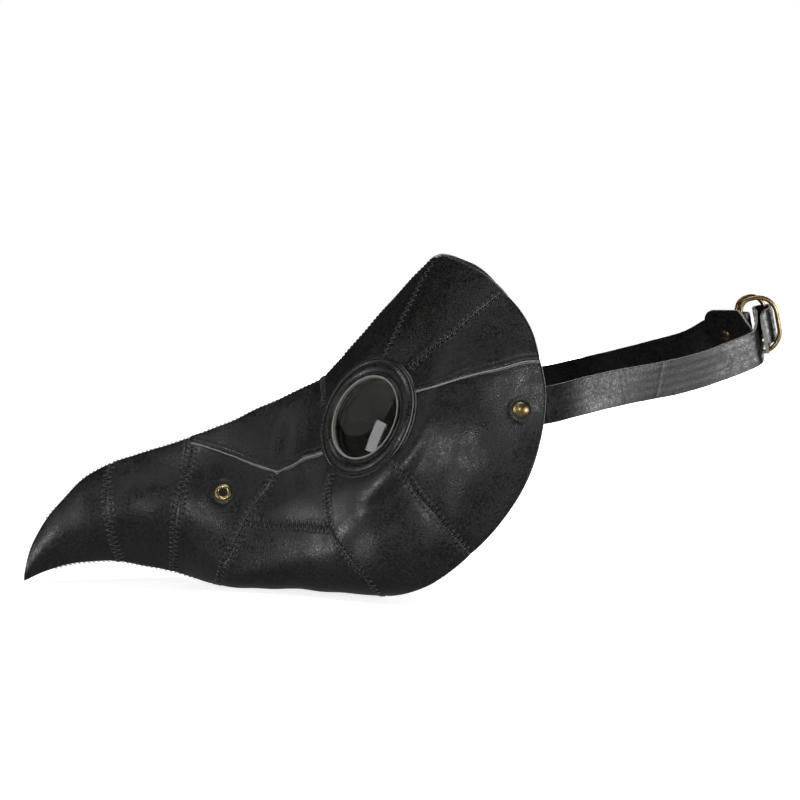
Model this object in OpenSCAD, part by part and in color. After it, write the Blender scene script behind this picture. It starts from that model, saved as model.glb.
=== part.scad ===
// Plague doctor mask: two mirrored half shells of sewn leather patches, a round eye on each
// side, a vent eyelet in each beak half, and two straps closed by a pair of D-rings.
// +X runs from the beak tip to the back of the head, +Z is up, and the left half lies on -Y.
// The mask rests on its chin and the underside of the beak root, with z = 0 on the table.

/* [Leather] */
// Thickness of the leather patches
leather_t = 1.6; // [1:0.1:2]
// Thickness of the straps
strap_t = 1.8; // [1.4:0.1:2]
// Width of the straps
strap_w = 20; // [18:0.5:21]

/* [Eyes] */
// Radius of the visible lens
lens_r = 23.5; // [20:0.5:25]
// Outer radius of the lower leather ring
eye_ring_r = 35.5; // [35:0.5:37]
// Outer radius of the upper leather ring
eye_band_r = 32.6; // [30:0.2:33]
// Height of the dome of the lens
lens_dome = 2.2; // [1:0.1:3]

/* [Vent] */
// Inner radius of the vent eyelet
eyelet_hole_r = 2.5; // [2:0.1:2.8]
// Outer radius of the eyelet's flange
eyelet_flange_r = 4.7; // [4.2:0.1:5.2]

/* [Straps and rings] */
// Radius of the strap rivet's cap
rivet_cap_r = 4.2; // [3.5:0.1:5]
// Radius of the strap rivet's post
rivet_post_r = 1.5; // [1.2:0.1:2]
// Radial clearance of the strap on its rivet post
swivel_fit = 0.06; // [0.03:0.01:0.1]
// Radius of the D-ring wire
ring_wire_r = 1.25; // [1:0.05:1.4]
// Length of a D-ring between the centre lines of its ends
ring_len = 32; // [31.5:0.5:33]
// Depth of a D-ring between the centre lines of its sides
ring_depth = 20; // [19.8:0.1:20.4]
// Swing of the front ring at rest, from the line of its strap
front_swing = 48; // [46:1:49]
// Swing of the rear ring at rest, from the line of its strap
rear_swing = 75; // [74:1:76]

/* [Hidden] */
$fn = 64;
rivet_base_r = 3.8;
rivet_cap_h = 1.8;
eyelet_barrel_r = 3;
tab_rivet_r = 3;
tab_rivet_post_r = 1.2;
ring_bar_bend = 6.5;
ring_far_bend = 11.2;

// Profiles of the left half along x: ridge height, underside height, greatest half width, and
// the powers that shape the section near the ridge and near the underside.
RIDGE = [[-218, 3], [-216, 14], [-212, 25], [-202, 41], [-185, 59], [-167, 69.5], [-145, 77],
  [-122, 84.5], [-98, 94], [-76, 104], [-58, 112], [-46, 118], [-38, 126.5], [-15, 152],
  [10, 180], [40, 213], [80, 257]];
KEEL = [[-218, 0.8], [-206, 6], [-191, 10.5], [-176, 12], [-161, 11.6], [-147, 9.2], [-132, 6],
  [-122, 3.2], [-112, 0.6], [-104, 0], [0, 0], [80, 0]];
HALF_WIDTH = [[-218, 0.2], [-205, 6], [-190, 11], [-170, 16], [-145, 21], [-120, 26], [-100, 31],
  [-80, 37], [-60, 44.5], [-45, 52], [-30, 61.5], [-15, 72], [0, 80], [20, 85.5], [45, 86.5], [80, 86.5]];
RIDGE_POWER = [[-218, 0.95], [-120, 0.85], [-60, 0.7], [-20, 0.55], [20, 0.45], [60, 0.38], [80, 0.36]];
KEEL_POWER = [[-218, 0.95], [-130, 0.9], [-112, 0.5], [-98, 0.26], [-60, 0.17], [-20, 0.14], [80, 0.15]];

// The eye sits on a flat area of the surface: a point of it, and how its depth grows along x and z.
EYE_AT = [-18.7, 51, 99.3];
EYE_SLOPE_X = 1.0;
EYE_SLOPE_Z = -0.575;
EYE_FLAT_R = 35;
EYE_FADE = 40;
EYE_SOFT = 6;
EYE_SOFT_FADE = 20;
EYE_HOLE_R = 34.5;
RIDGE_BLEND = 0.14;
EYE_AXIS = -[EYE_SLOPE_X, 1, EYE_SLOPE_Z] / norm([EYE_SLOPE_X, 1, EYE_SLOPE_Z]);
EYE_UP = unit([0, 0, 1] - EYE_AXIS[2] * EYE_AXIS);
EYE_SIDE = cross(EYE_UP, EYE_AXIS);

EDGE_GAP = 0.006;
MID_GAP = 0.15;

// Where the straps and the vents sit
RIVET_X = 63.8;
RIVET_Z = 107.5;
VENT_X = -101.3;
VENT_Z = 55.1;
STRAP_GAP = 3.2;
RING_AT = [193.6, 0, 146.6];
RING_TURN = [15, -2, -44];
BAR_SPACING = 2.8;

// ---- curves and the shape of the half shell ----

function unit(v) = v / norm(v);

function span(t, x, i = 0) = (i >= len(t) - 2 || x < t[i + 1][0]) ? i : span(t, x, i + 1);

function knot_slope(t, i) =
  let (a = max(i - 1, 0), b = min(i + 1, len(t) - 1)) (t[b][1] - t[a][1]) / (t[b][0] - t[a][0]);

// Smooth value of a profile at x
function along(t, x) =
  let (i = span(t, x), w = t[i + 1][0] - t[i][0], u = (x - t[i][0]) / w)
  t[i][1] * (2 * u ^ 3 - 3 * u ^ 2 + 1) + knot_slope(t, i) * w * (u ^ 3 - 2 * u ^ 2 + u)
  + t[i + 1][1] * (3 * u ^ 2 - 2 * u ^ 3) + knot_slope(t, i + 1) * w * (u ^ 3 - u ^ 2);

// Share of the height, from the ridge down, at girth g: 0 on the ridge and 1 on the keel
function drop_share(x, g) =
  let (a = g ^ (1 / along(RIDGE_POWER, x)), b = (1 - g) ^ (1 / along(KEEL_POWER, x))) a / (a + b);

function bulge(x, s) =
  let (p = along(RIDGE_POWER, x), q = along(KEEL_POWER, x), full = p / (p + q))
  along(HALF_WIDTH, x) * (s / full) ^ p * ((1 - s) / (1 - full)) ^ q;

function eye_depth(x, z) =
  EYE_AT[1] + EYE_SLOPE_X * (x - EYE_AT[0]) + EYE_SLOPE_Z * (z - EYE_AT[2]);

function ease(t) = let (u = min(1, max(0, t))) u * u * (3 - 2 * u);

// Point of the left outer surface at station x and girth g. Outside the rings, the eye's flat
// area stands only a little proud of the cheek.
function skin(x, g) =
  let (s = drop_share(x, g), top = along(RIDGE, x), z = top - s * (top - along(KEEL, x)),
       flat = eye_depth(x, z), away = norm([x, flat, z] - EYE_AT), side = bulge(x, s),
       keep = 1 - (1 - ease((away - EYE_FLAT_R) / EYE_FADE)) * ease(g / RIDGE_BLEND),
       proud = max(0, flat - side), soft = EYE_SOFT * (1 - exp(-proud / EYE_SOFT)),
       cut = (proud - soft) * ease((away - EYE_FLAT_R) / EYE_SOFT_FADE),
       y = side + (1 - keep) * (flat - side - cut))
  [x, -MID_GAP - y, z];

// Girth of the surface at station x and height z, found by halving the interval
function girth(x, z, lo = 0, hi = 1, n = 22) =
  let (g = (lo + hi) / 2, top = along(RIDGE, x), want = (top - z) / (top - along(KEEL, x)))
  n == 0 ? g : drop_share(x, g) < want ? girth(x, z, g, hi, n - 1) : girth(x, z, lo, g, n - 1);

function ridge(x) = [x, 0];
function keel(x) = [x, 1];
function at(x, z) = [x, girth(x, z)];

// Point on the edge of the eye hole, at an angle about the eye's axis
function eye_edge(a) =
  let (c = [EYE_AT[0], -EYE_AT[1], EYE_AT[2]] + EYE_HOLE_R * (cos(a) * EYE_SIDE + sin(a) * EYE_UP))
  at(c[0], c[2]);
function eye_arc(a, b, n) = [for (i = [0:n]) eye_edge(a + (b - a) * i / n)];

// n even steps along a smooth curve through the given points
function smooth_at(p, t) =
  let (i = min(floor(t), len(p) - 2), u = t - i, b = p[i], c = p[i + 1],
       a = i > 0 ? p[i - 1] : 2 * b - c, d = i < len(p) - 2 ? p[i + 2] : 2 * c - b)
  0.5 * (2 * b + (c - a) * u + (2 * a - 5 * b + 4 * c - d) * u ^ 2 + (3 * b - a - 3 * c + d) * u ^ 3);
function smooth(p, n) = [for (i = [0:n]) smooth_at(p, i * (len(p) - 1) / n)];
function join(a, b) = concat(a, [for (i = [1:len(b) - 1]) b[i]]);

// ---- seam lines of the left half ----

SEAM_TIP = [ridge(-166.6), at(-168.6, 60), at(-168.6, 50), at(-167.4, 40), at(-165.5, 28), keel(-162)];
LAP_START = at(-121, 81.5);
SEAM_MIDDLE = [LAP_START, at(-121.5, 71), at(-124, 60), at(-126.3, 50.5), at(-128.3, 38), at(-129.8, 25.5),
  keel(-131.6)];
LAP_BEND = at(-70.1, 67.5);
LAP_FRONT_A = [LAP_START, at(-107.8, 78.6), at(-95.9, 75), at(-84.6, 71.3), LAP_BEND];
LAP_FRONT_B = [LAP_BEND, at(-62.3, 71), at(-53.9, 75.6), eye_edge(218)];
LEVEL_START = at(-88, 40.7);
LEVEL_END = at(-39.2, 40.4);
SEAM_ROOT_UPPER = [LAP_BEND, at(-76.8, 57.5), at(-82.4, 49.7), LEVEL_START];
SEAM_ROOT_LOWER = [LEVEL_START, at(-92.5, 31), at(-97.9, 19.7), at(-102.4, 11), keel(-107.5)];
SEAM_LEVEL = [LEVEL_START, at(-66.9, 39.6), at(-52.2, 39.4), LEVEL_END];
SEAM_UNDER_EYE = [eye_edge(243), at(-41.2, 60), at(-40.8, 51.7), LEVEL_END];
CHIN_CORNER = at(-9, 1.2);
SEAM_CHIN = [LEVEL_END, at(-34.7, 33.6), at(-29.7, 26.3), at(-24.1, 18.7), at(-17.5, 11), CHIN_CORNER];
JAW_CORNER = at(37, 29);
SEAM_JAW = [eye_edge(-41), at(2.8, 70.7), at(8, 62.9), at(13.7, 56.1), at(19.7, 49.4), at(24.9, 42.8),
  JAW_CORNER];
LAP_REAR_END = at(74.1, 134.1);
LAP_REAR = [eye_edge(31), at(24.1, 121.8), at(41.4, 127), at(56.3, 130.7), LAP_REAR_END];
TEMPLE_CORNER = at(54.5, 170.6);
SEAM_TEMPLE = [eye_edge(57), at(13.5, 137.2), at(25.8, 146.5), at(35, 154.5), at(44.2, 162.5),
  TEMPLE_CORNER];
BROW_CORNER = at(20.5, 187.8);
SEAM_BROW = [eye_edge(93), at(-5.4, 143.5), at(0.2, 154.6), at(5.2, 164.5), at(11, 175), BROW_CORNER];
EDGE_BROW = [ridge(16.5), at(18.6, 187.7), BROW_CORNER];
EDGE_FOREHEAD = [BROW_CORNER, at(26.3, 187.8), at(33.6, 185.3), at(42.9, 180.9), TEMPLE_CORNER];
EDGE_TEMPLE = [TEMPLE_CORNER, at(60.5, 164.5), at(66.4, 156.5), at(70.9, 147), LAP_REAR_END];
EDGE_CHEEK = [LAP_REAR_END, at(76.9, 120.3), at(76.8, 107), at(74.5, 92), at(70, 76), at(63.2, 61.5),
  at(54.6, 48.5), JAW_CORNER];
EDGE_JAW = [JAW_CORNER, at(28, 20.5), at(17, 12), at(5, 5.5), CHIN_CORNER];
EDGE_CHIN = [CHIN_CORNER, [-10, (1 + CHIN_CORNER[1]) / 2], keel(-13)];
BRIDGE_TOP = [ridge(-46), eye_edge(155)];

// ---- building blocks ----

// Outer points of a patch: its four edge lists blended, drawn in a little from its neighbours
function blended(top, bottom, left, right, u, v) =
  let (n = len(top) - 1, m = len(left) - 1)
  (1 - v) * smooth_at(top, u * n) + v * smooth_at(bottom, u * n)
  + (1 - u) * smooth_at(left, v * m) + u * smooth_at(right, v * m)
  - (1 - u) * (1 - v) * top[0] - u * (1 - v) * top[n] - (1 - u) * v * bottom[0] - u * v * bottom[n];

function clamp01(v) = min(1, max(0, v));

function patch_skin(top, bottom, left, right) =
  let (n = len(top) - 1, m = len(left) - 1)
  [for (i = [0:n]) [for (j = [0:m])
    let (u = EDGE_GAP + (1 - 2 * EDGE_GAP) * i / n, v = EDGE_GAP + (1 - 2 * EDGE_GAP) * j / m,
         p = blended(top, bottom, left, right, u, v))
    skin(p[0], clamp01(p[1]))]];

// Thickness falls off in the last few millimetres of the beak
function thickness(x) = leather_t * min(1, max(0.15, (x + 220) / 14));

function patch_lining(s) =
  let (n = len(s) - 1, m = len(s[0]) - 1)
  [for (i = [0:n]) [for (j = [0:m])
    let (along_u = s[min(i + 1, n)][j] - s[max(i - 1, 0)][j],
         along_v = s[i][min(j + 1, m)] - s[i][max(j - 1, 0)],
         p = s[i][j] + thickness(s[i][j][0]) * unit(cross(along_u, along_v)))
    [p[0], min(p[1], -MID_GAP), p[2]]]];

module patch(top, bottom, left, right, tone = "#1c1c1e") {
  s = patch_skin(top, bottom, left, right);
  t = patch_lining(s);
  n = len(s) - 1;
  m = len(s[0]) - 1;
  count = (n + 1) * (m + 1);
  function id(i, j) = i * (m + 1) + j;
  faces = [
    for (i = [0:n - 1]) for (j = [0:m - 1]) each [
      [id(i, j), id(i + 1, j), id(i + 1, j + 1)],
      [id(i, j), id(i + 1, j + 1), id(i, j + 1)],
      [count + id(i, j), count + id(i + 1, j + 1), count + id(i + 1, j)],
      [count + id(i, j), count + id(i, j + 1), count + id(i + 1, j + 1)]],
    for (i = [0:n - 1]) each [
      [id(i + 1, 0), id(i, 0), count + id(i, 0)],
      [id(i + 1, 0), count + id(i, 0), count + id(i + 1, 0)],
      [id(i, m), id(i + 1, m), count + id(i + 1, m)],
      [id(i, m), count + id(i + 1, m), count + id(i, m)]],
    for (j = [0:m - 1]) each [
      [id(n, j + 1), id(n, j), count + id(n, j)],
      [id(n, j + 1), count + id(n, j), count + id(n, j + 1)],
      [id(0, j), id(0, j + 1), count + id(0, j + 1)],
      [id(0, j), count + id(0, j + 1), count + id(0, j)]]];
  points = concat([for (row = s) each row], [for (row = t) each row]);
  color(tone) polyhedron(points, faces, convexity = 6);
}

module right_half() {
  mirror([0, 1, 0]) children();
}

// ---- patches of the left half ----

module beak_tip() {
  patch(smooth([ridge(-218), ridge(-166.6)], 9), smooth([keel(-218), keel(-162)], 9),
    smooth([ridge(-218), keel(-218)], 8), smooth(SEAM_TIP, 8));
}

module beak_middle() {
  patch(smooth([ridge(-166.6), ridge(-122)], 6), smooth([keel(-162), keel(-131.6)], 6),
    smooth(SEAM_TIP, 9), concat([ridge(-122)], smooth(SEAM_MIDDLE, 8)));
}

module vent_patch() {
  difference() {
    patch(smooth(LAP_FRONT_A, 8), smooth([keel(-131.6), keel(-107.5)], 8),
      smooth(SEAM_MIDDLE, 8), join(smooth(SEAM_ROOT_UPPER, 4), smooth(SEAM_ROOT_LOWER, 4)));
    at_vent() cylinder(r = eyelet_barrel_r + 0.05, h = 20, center = true);
  }
}

module bridge_patch() {
  patch(smooth([ridge(-122), ridge(-46)], 10),
    join(smooth(LAP_FRONT_A, 6), smooth(LAP_FRONT_B, 4)),
    smooth([ridge(-122), LAP_START], 6), join(smooth(BRIDGE_TOP, 2), eye_arc(155, 218, 4)));
}

module front_cheek() {
  patch(join(smooth(LAP_FRONT_B, 5), eye_arc(218, 243, 2)), smooth(SEAM_LEVEL, 7),
    smooth(SEAM_ROOT_UPPER, 5), smooth(SEAM_UNDER_EYE, 5));
}

module lower_front() {
  patch(smooth(SEAM_LEVEL, 8), smooth([keel(-107.5), keel(-13)], 8),
    smooth(SEAM_ROOT_LOWER, 9), join(smooth(SEAM_CHIN, 6), smooth(EDGE_CHIN, 3)));
}

module lower_cheek() {
  patch(smooth(SEAM_JAW, 8), join(smooth(SEAM_UNDER_EYE, 4), smooth(SEAM_CHIN, 4)),
    eye_arc(-41, -117, 8), smooth(EDGE_JAW, 8));
}

module rear_cheek() {
  difference() {
    patch(smooth(LAP_REAR, 8), smooth(SEAM_JAW, 8), eye_arc(31, -41, 8), smooth(EDGE_CHEEK, 8));
    at_rivet() cylinder(r = rivet_post_r + 0.05, h = 20, center = true);
  }
}

module temple() {
  patch(smooth(SEAM_TEMPLE, 8), smooth(LAP_REAR, 8), eye_arc(57, 31, 4), smooth(EDGE_TEMPLE, 4));
}

module forehead_side() {
  patch(smooth(SEAM_BROW, 8), smooth(SEAM_TEMPLE, 8), eye_arc(93, 57, 5), smooth(EDGE_FOREHEAD, 5));
}

module brow_strip() {
  patch(smooth([ridge(-46), ridge(16.5)], 10), join(eye_arc(155, 93, 4), smooth(SEAM_BROW, 6)),
    smooth(BRIDGE_TOP, 4), smooth(EDGE_BROW, 4));
}

// ---- eye of the left half, with z along its axis and z = 0 on the leather ----

module at_eye() {
  tilt = acos(EYE_AXIS[2]);
  turn = atan2(EYE_AXIS[1], EYE_AXIS[0]);
  translate([EYE_AT[0], -EYE_AT[1] - MID_GAP, EYE_AT[2]]) rotate([0, tilt, turn]) children();
}

module washer(outer, inner, from, height) {
  translate([0, 0, from]) difference() {
    cylinder(r = outer, h = height, $fn = 96);
    translate([0, 0, -1]) cylinder(r = inner, h = height + 2, $fn = 96);
  }
}

module eye_ring() {
  color("#242426") at_eye() washer(eye_ring_r, lens_r + 0.6, 0.45, 1.4);
}

module eye_band() {
  color("#1e1e20") at_eye() washer(eye_band_r, lens_r + 0.3, 1.9, 1.4);
}

module eye_rim() {
  color("#3a3834") at_eye() washer(lens_r + 3, lens_r, 3.35, 1);
}

module lens() {
  seat_r = lens_r + 2.8;
  ball_r = (lens_r ^ 2 + lens_dome ^ 2) / (2 * lens_dome);
  color("#0a0a0c") at_eye() {
    rotate_extrude($fn = 96) {
      translate([0, -1.6]) square([seat_r, 2]);
      intersection() {
        translate([0, 0.4 + lens_dome - ball_r]) circle(r = ball_r, $fn = 720);
        square([lens_r, 6]);
      }
    }
  }
}

module eye_backing() {
  color("#161616") at_eye() washer(EYE_HOLE_R - 1, lens_r + 3, -2.8, 3.2);
}

// ---- vent eyelet and strap rivet of the left half ----

VENT_G = girth(VENT_X, VENT_Z);
VENT_AT = skin(VENT_X, VENT_G);
VENT_AXIS = -unit(cross(skin(VENT_X + 4, VENT_G) - skin(VENT_X - 4, VENT_G),
  skin(VENT_X, VENT_G + 0.04) - skin(VENT_X, VENT_G - 0.04)));
RIVET_Y = skin(RIVET_X, girth(RIVET_X, RIVET_Z))[1];
STRAP_Y = RIVET_Y + leather_t + STRAP_GAP + strap_t / 2;

module at_vent() {
  tilt = acos(VENT_AXIS[2]);
  turn = atan2(VENT_AXIS[1], VENT_AXIS[0]);
  translate(VENT_AT) rotate([0, tilt, turn]) children();
}

// z runs outwards from the leather
module at_rivet() {
  translate([RIVET_X, RIVET_Y, RIVET_Z]) rotate([90, 0, 0]) children();
}

module eyelet() {
  rise = 0.35;
  color("#b08d4f") at_vent() rotate_extrude($fn = 64) union() {
    translate([eyelet_hole_r, -leather_t - 1.5]) square([eyelet_barrel_r - eyelet_hole_r, leather_t + 2.4]);
    intersection() {
      translate([(eyelet_hole_r + eyelet_flange_r) / 2, rise])
        scale([1, 0.9]) circle(r = (eyelet_flange_r - eyelet_hole_r) / 2, $fn = 32);
      translate([eyelet_hole_r, rise]) square([4, 3]);
    }
  }
}

module eyelet_washer() {
  color("#a5844a") at_vent() washer(4.5, eyelet_barrel_r + 0.05, -leather_t - 1.3, 0.6);
}

module rivet() {
  ball_r = (rivet_cap_r ^ 2 + rivet_cap_h ^ 2) / (2 * rivet_cap_h);
  inner_end = leather_t + STRAP_GAP + strap_t + 1.2;
  color("#b08d4f") at_rivet() {
    translate([0, 0, 0.5]) intersection() {
      translate([0, 0, rivet_cap_h - ball_r]) sphere(r = ball_r, $fn = 64);
      cylinder(r = rivet_cap_r, h = 5);
    }
    translate([0, 0, -inner_end]) cylinder(r = rivet_post_r, h = inner_end + 0.6);
  }
}

module rivet_base() {
  color("#a5844a") at_rivet()
    washer(rivet_base_r, rivet_post_r + 0.02, -(leather_t + STRAP_GAP + strap_t + 1.1), 0.7);
}

// ---- straps: flat bands swept along a route of [point, direction of the width] ----

// Frame of the D-rings: x along the rings' depth, y to the right side, z along their bars
function turned(p) =
  let (a = RING_TURN, q = [p[0], p[1] * cos(a[0]) - p[2] * sin(a[0]), p[1] * sin(a[0]) + p[2] * cos(a[0])],
       r = [q[0] * cos(a[1]) + q[2] * sin(a[1]), q[1], q[2] * cos(a[1]) - q[0] * sin(a[1])])
  [r[0] * cos(a[2]) - r[1] * sin(a[2]), r[0] * sin(a[2]) + r[1] * cos(a[2]), r[2]];
function ring_point(p) = RING_AT + turned(p);
function ring_station(p, lean = 0) = [ring_point(p), turned([sin(lean), 0, cos(lean)])];

module in_ring_frame() {
  translate(RING_AT) rotate(RING_TURN) children();
}

WRAP_LEAN = [-0.2, -0.16, 0.96];
LEFT_ROUTE = [[[RIVET_X - 9, STRAP_Y, RIVET_Z - 1], [-0.1, 0, 1]], [[RIVET_X, STRAP_Y, RIVET_Z], [-0.1, 0, 1]],
  [[80, STRAP_Y, 110], [-0.16, 0, 1]], [[95, -75.6, 113.5], [-0.2, -0.05, 1]],
  [[110, -69, 116.6], [-0.18, -0.1, 1]], [[125, -59.5, 118.8], [-0.16, -0.15, 1]],
  [[140, -49, 120.5], [-0.16, -0.2, 1]], [[155, -38.5, 122.6], [-0.18, -0.2, 1]],
  [[170, -28.5, 125.8], [-0.2, -0.2, 1]], [[184, -20.5, 130], WRAP_LEAN], [[195, -16, 133.8], WRAP_LEAN],
  [[200.4, -13, 136.6], WRAP_LEAN], [[202.4, -8, 140.6], WRAP_LEAN], [[203.2, -2, 144.4], WRAP_LEAN],
  [[203.6, 4, 147], WRAP_LEAN], ring_station([-0.7, 14.8, -1.9]), ring_station([-0.4, 19.4, -2.2]),
  ring_station([3.8, 22.6, -2.6]), ring_station([7.7, 19.6, -2.7]), ring_station([9.3, 15.3, -2.6]),
  [[208, 1, 147], WRAP_LEAN], [[206, -5, 144.4], WRAP_LEAN], [[205.4, -11.5, 141.4], WRAP_LEAN]];

RIGHT_ROUTE = [[[RIVET_X - 9, -STRAP_Y, RIVET_Z], [-0.05, 0, 1]], [[RIVET_X, -STRAP_Y, RIVET_Z], [-0.05, 0, 1]],
  [[80, -STRAP_Y, 108.4], [-0.12, 0, 1]], [[95, 75.6, 111.3], [-0.2, 0.05, 1]],
  [[110, 69, 115.3], [-0.26, 0.05, 1]], [[125, 59, 119.8], [-0.28, 0, 1]],
  [[140, 48.5, 124.5], [-0.28, 0, 1]], [[155, 37, 129.4], [-0.25, 0, 1]],
  [[168, 26.5, 134.5], [-0.2, -0.1, 1]],
  ring_station([-17, 4.2, -2.2]), ring_station([-9, 2.9, -1]), ring_station([-3, 2.7, -1]),
  ring_station([3, 2.7, -1]), ring_station([4.9, 1.9, -1]), ring_station([5.6, 0, -1]),
  ring_station([4.9, -1.9, -1]), ring_station([3, -2.7, -1]), ring_station([-3, -2.7, -1]),
  ring_station([-9, -2.7, -1]), ring_station([-15, -2.7, -1])];

module band(route, width, height, steps, tone) {
  middle = smooth([for (r = route) r[0]], (len(route) - 1) * steps);
  rise = smooth([for (r = route) unit(r[1])], (len(route) - 1) * steps);
  last = len(middle) - 1;
  rings = [for (i = [0:last])
    let (ahead = unit(middle[min(i + 1, last)] - middle[max(i - 1, 0)]),
         up = unit(rise[i] - (rise[i] * ahead) * ahead), out = cross(ahead, up))
    [middle[i] + up * width / 2 + out * height / 2, middle[i] + up * width / 2 - out * height / 2,
      middle[i] - up * width / 2 - out * height / 2, middle[i] - up * width / 2 + out * height / 2]];
  faces = [
    [2, 1, 0], [3, 2, 0],
    for (i = [0:last - 1]) for (k = [0:3]) each
      let (a = 4 * i + k, b = 4 * i + (k + 1) % 4) [[a, b, a + 4], [b, b + 4, a + 4]],
    [4 * last, 4 * last + 1, 4 * last + 2], [4 * last, 4 * last + 2, 4 * last + 3]];
  color(tone) polyhedron([for (r = rings) each r], faces, convexity = 8);
}

module left_strap() {
  difference() {
    band(LEFT_ROUTE, strap_w, strap_t, 3, "#1f1f21");
    at_rivet() cylinder(r = rivet_post_r + swivel_fit, h = 20, center = true);
  }
}

module right_strap() {
  difference() {
    band(RIGHT_ROUTE, strap_w, strap_t, 3, "#1b1b1d");
    right_half() at_rivet() cylinder(r = rivet_post_r + swivel_fit, h = 20, center = true);
    at_tab_rivet() cylinder(r = tab_rivet_post_r + 0.05, h = 20, center = true);
  }
}

// ---- tab, its rivet and the rings ----

TAB_FRONT = -5.6;
TAB_T = 1.8;
TAB_TOP = 12.3;
TAB_FOOT = -11;
TAB_BACK = -21.5;

// The tab's outline: a rounded end on the strap and a slanted cut over the rings' bars
module tab_outline() {
  bend = 7;
  hull() {
    translate([TAB_BACK + bend, TAB_TOP - bend]) circle(r = bend, $fn = 32);
    translate([TAB_BACK + bend, TAB_FOOT + bend]) circle(r = bend, $fn = 32);
    polygon([[3.7, TAB_TOP], [11.6, -0.5], [11.6, TAB_FOOT], [0, TAB_FOOT]]);
  }
}

module at_tab_rivet() {
  in_ring_frame() translate([-8.3, TAB_FRONT, -2.6]) rotate([90, 0, 0]) children();
}

module strap_tab() {
  color("#222224") difference() {
    in_ring_frame() translate([0, TAB_FRONT + TAB_T, 0]) rotate([90, 0, 0])
      linear_extrude(height = TAB_T) tab_outline();
    at_tab_rivet() cylinder(r = tab_rivet_post_r + 0.05, h = 20, center = true);
  }
}

module tab_rivet() {
  ball_r = (tab_rivet_r ^ 2 + 1.2) / 2.2;
  color("#8a6a35") at_tab_rivet() {
    translate([0, 0, 0.05]) intersection() {
      translate([0, 0, 1.1 - ball_r]) sphere(r = ball_r, $fn = 48);
      cylinder(r = tab_rivet_r, h = 3);
    }
    translate([0, 0, -9.9]) cylinder(r = tab_rivet_post_r, h = 10);
    translate([0, 0, -10.5]) cylinder(r = 2.4, h = 0.6);
  }
}

// A D-ring in its own plane, with its bar on the z axis and its depth along x
module d_ring() {
  half = ring_len / 2;
  module bend(cx, cz, r, from) {
    translate([cx, 0, cz]) rotate([90, from, 0]) rotate_extrude(angle = 90, $fn = 64)
      translate([r, 0]) circle(r = ring_wire_r, $fn = 24);
  }
  module rod(x, z, length, lay) {
    translate([x, 0, z]) rotate([0, lay, 0]) cylinder(r = ring_wire_r, h = length, $fn = 24);
  }
  rod(0, -half + ring_bar_bend, ring_len - 2 * ring_bar_bend, 0);
  rod(ring_depth, -half + ring_far_bend, ring_len - 2 * ring_far_bend, 0);
  rod(ring_bar_bend, half, ring_depth - ring_bar_bend - ring_far_bend, 90);
  rod(ring_bar_bend, -half, ring_depth - ring_bar_bend - ring_far_bend, 90);
  bend(ring_bar_bend, half - ring_bar_bend, ring_bar_bend, -90);
  bend(ring_depth - ring_far_bend, half - ring_far_bend, ring_far_bend, 0);
  bend(ring_depth - ring_far_bend, -half + ring_far_bend, ring_far_bend, 90);
  bend(ring_bar_bend, -half + ring_bar_bend, ring_bar_bend, 180);
}

module ring_front() {
  color("#b08d4f") in_ring_frame() translate([BAR_SPACING / 2, 0, 0]) rotate([0, 0, front_swing]) d_ring();
}

module ring_rear() {
  color("#a5844a") in_ring_frame() translate([-BAR_SPACING / 2, 0, 0]) rotate([0, 0, rear_swing]) d_ring();
}

beak_tip();  // left_beak_tip
beak_middle();  // left_beak_middle
vent_patch();  // left_vent_patch
bridge_patch();  // left_bridge_patch
front_cheek();  // left_front_cheek
lower_front();  // left_lower_front
lower_cheek();  // left_lower_cheek
rear_cheek();  // left_rear_cheek
temple();  // left_temple
forehead_side();  // left_forehead_side
brow_strip();  // left_brow_strip
right_half() beak_tip();  // right_beak_tip
right_half() beak_middle();  // right_beak_middle
right_half() vent_patch();  // right_vent_patch
right_half() bridge_patch();  // right_bridge_patch
right_half() front_cheek();  // right_front_cheek
right_half() lower_front();  // right_lower_front
right_half() lower_cheek();  // right_lower_cheek
right_half() rear_cheek();  // right_rear_cheek
right_half() temple();  // right_temple
right_half() forehead_side();  // right_forehead_side
right_half() brow_strip();  // right_brow_strip
eye_ring();  // left_eye_ring
eye_band();  // left_eye_band
eye_rim();  // left_eye_rim
lens();  // left_lens
eye_backing();  // left_eye_backing
right_half() eye_ring();  // right_eye_ring
right_half() eye_band();  // right_eye_band
right_half() eye_rim();  // right_eye_rim
right_half() lens();  // right_lens
right_half() eye_backing();  // right_eye_backing
eyelet();  // left_eyelet
eyelet_washer();  // left_eyelet_washer
right_half() eyelet();  // right_eyelet
right_half() eyelet_washer();  // right_eyelet_washer
rivet();  // left_rivet
rivet_base();  // left_rivet_base
right_half() rivet();  // right_rivet
right_half() rivet_base();  // right_rivet_base
left_strap();
right_strap();
strap_tab();
tab_rivet();
ring_front();
ring_rear();
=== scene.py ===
"""Looks of the plague doctor mask: leather patches, seams, eyes, straps and fittings."""
import bmesh
import bpy
import math
import numpy as np
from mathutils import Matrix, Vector
from mathutils.kdtree import KDTree


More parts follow.
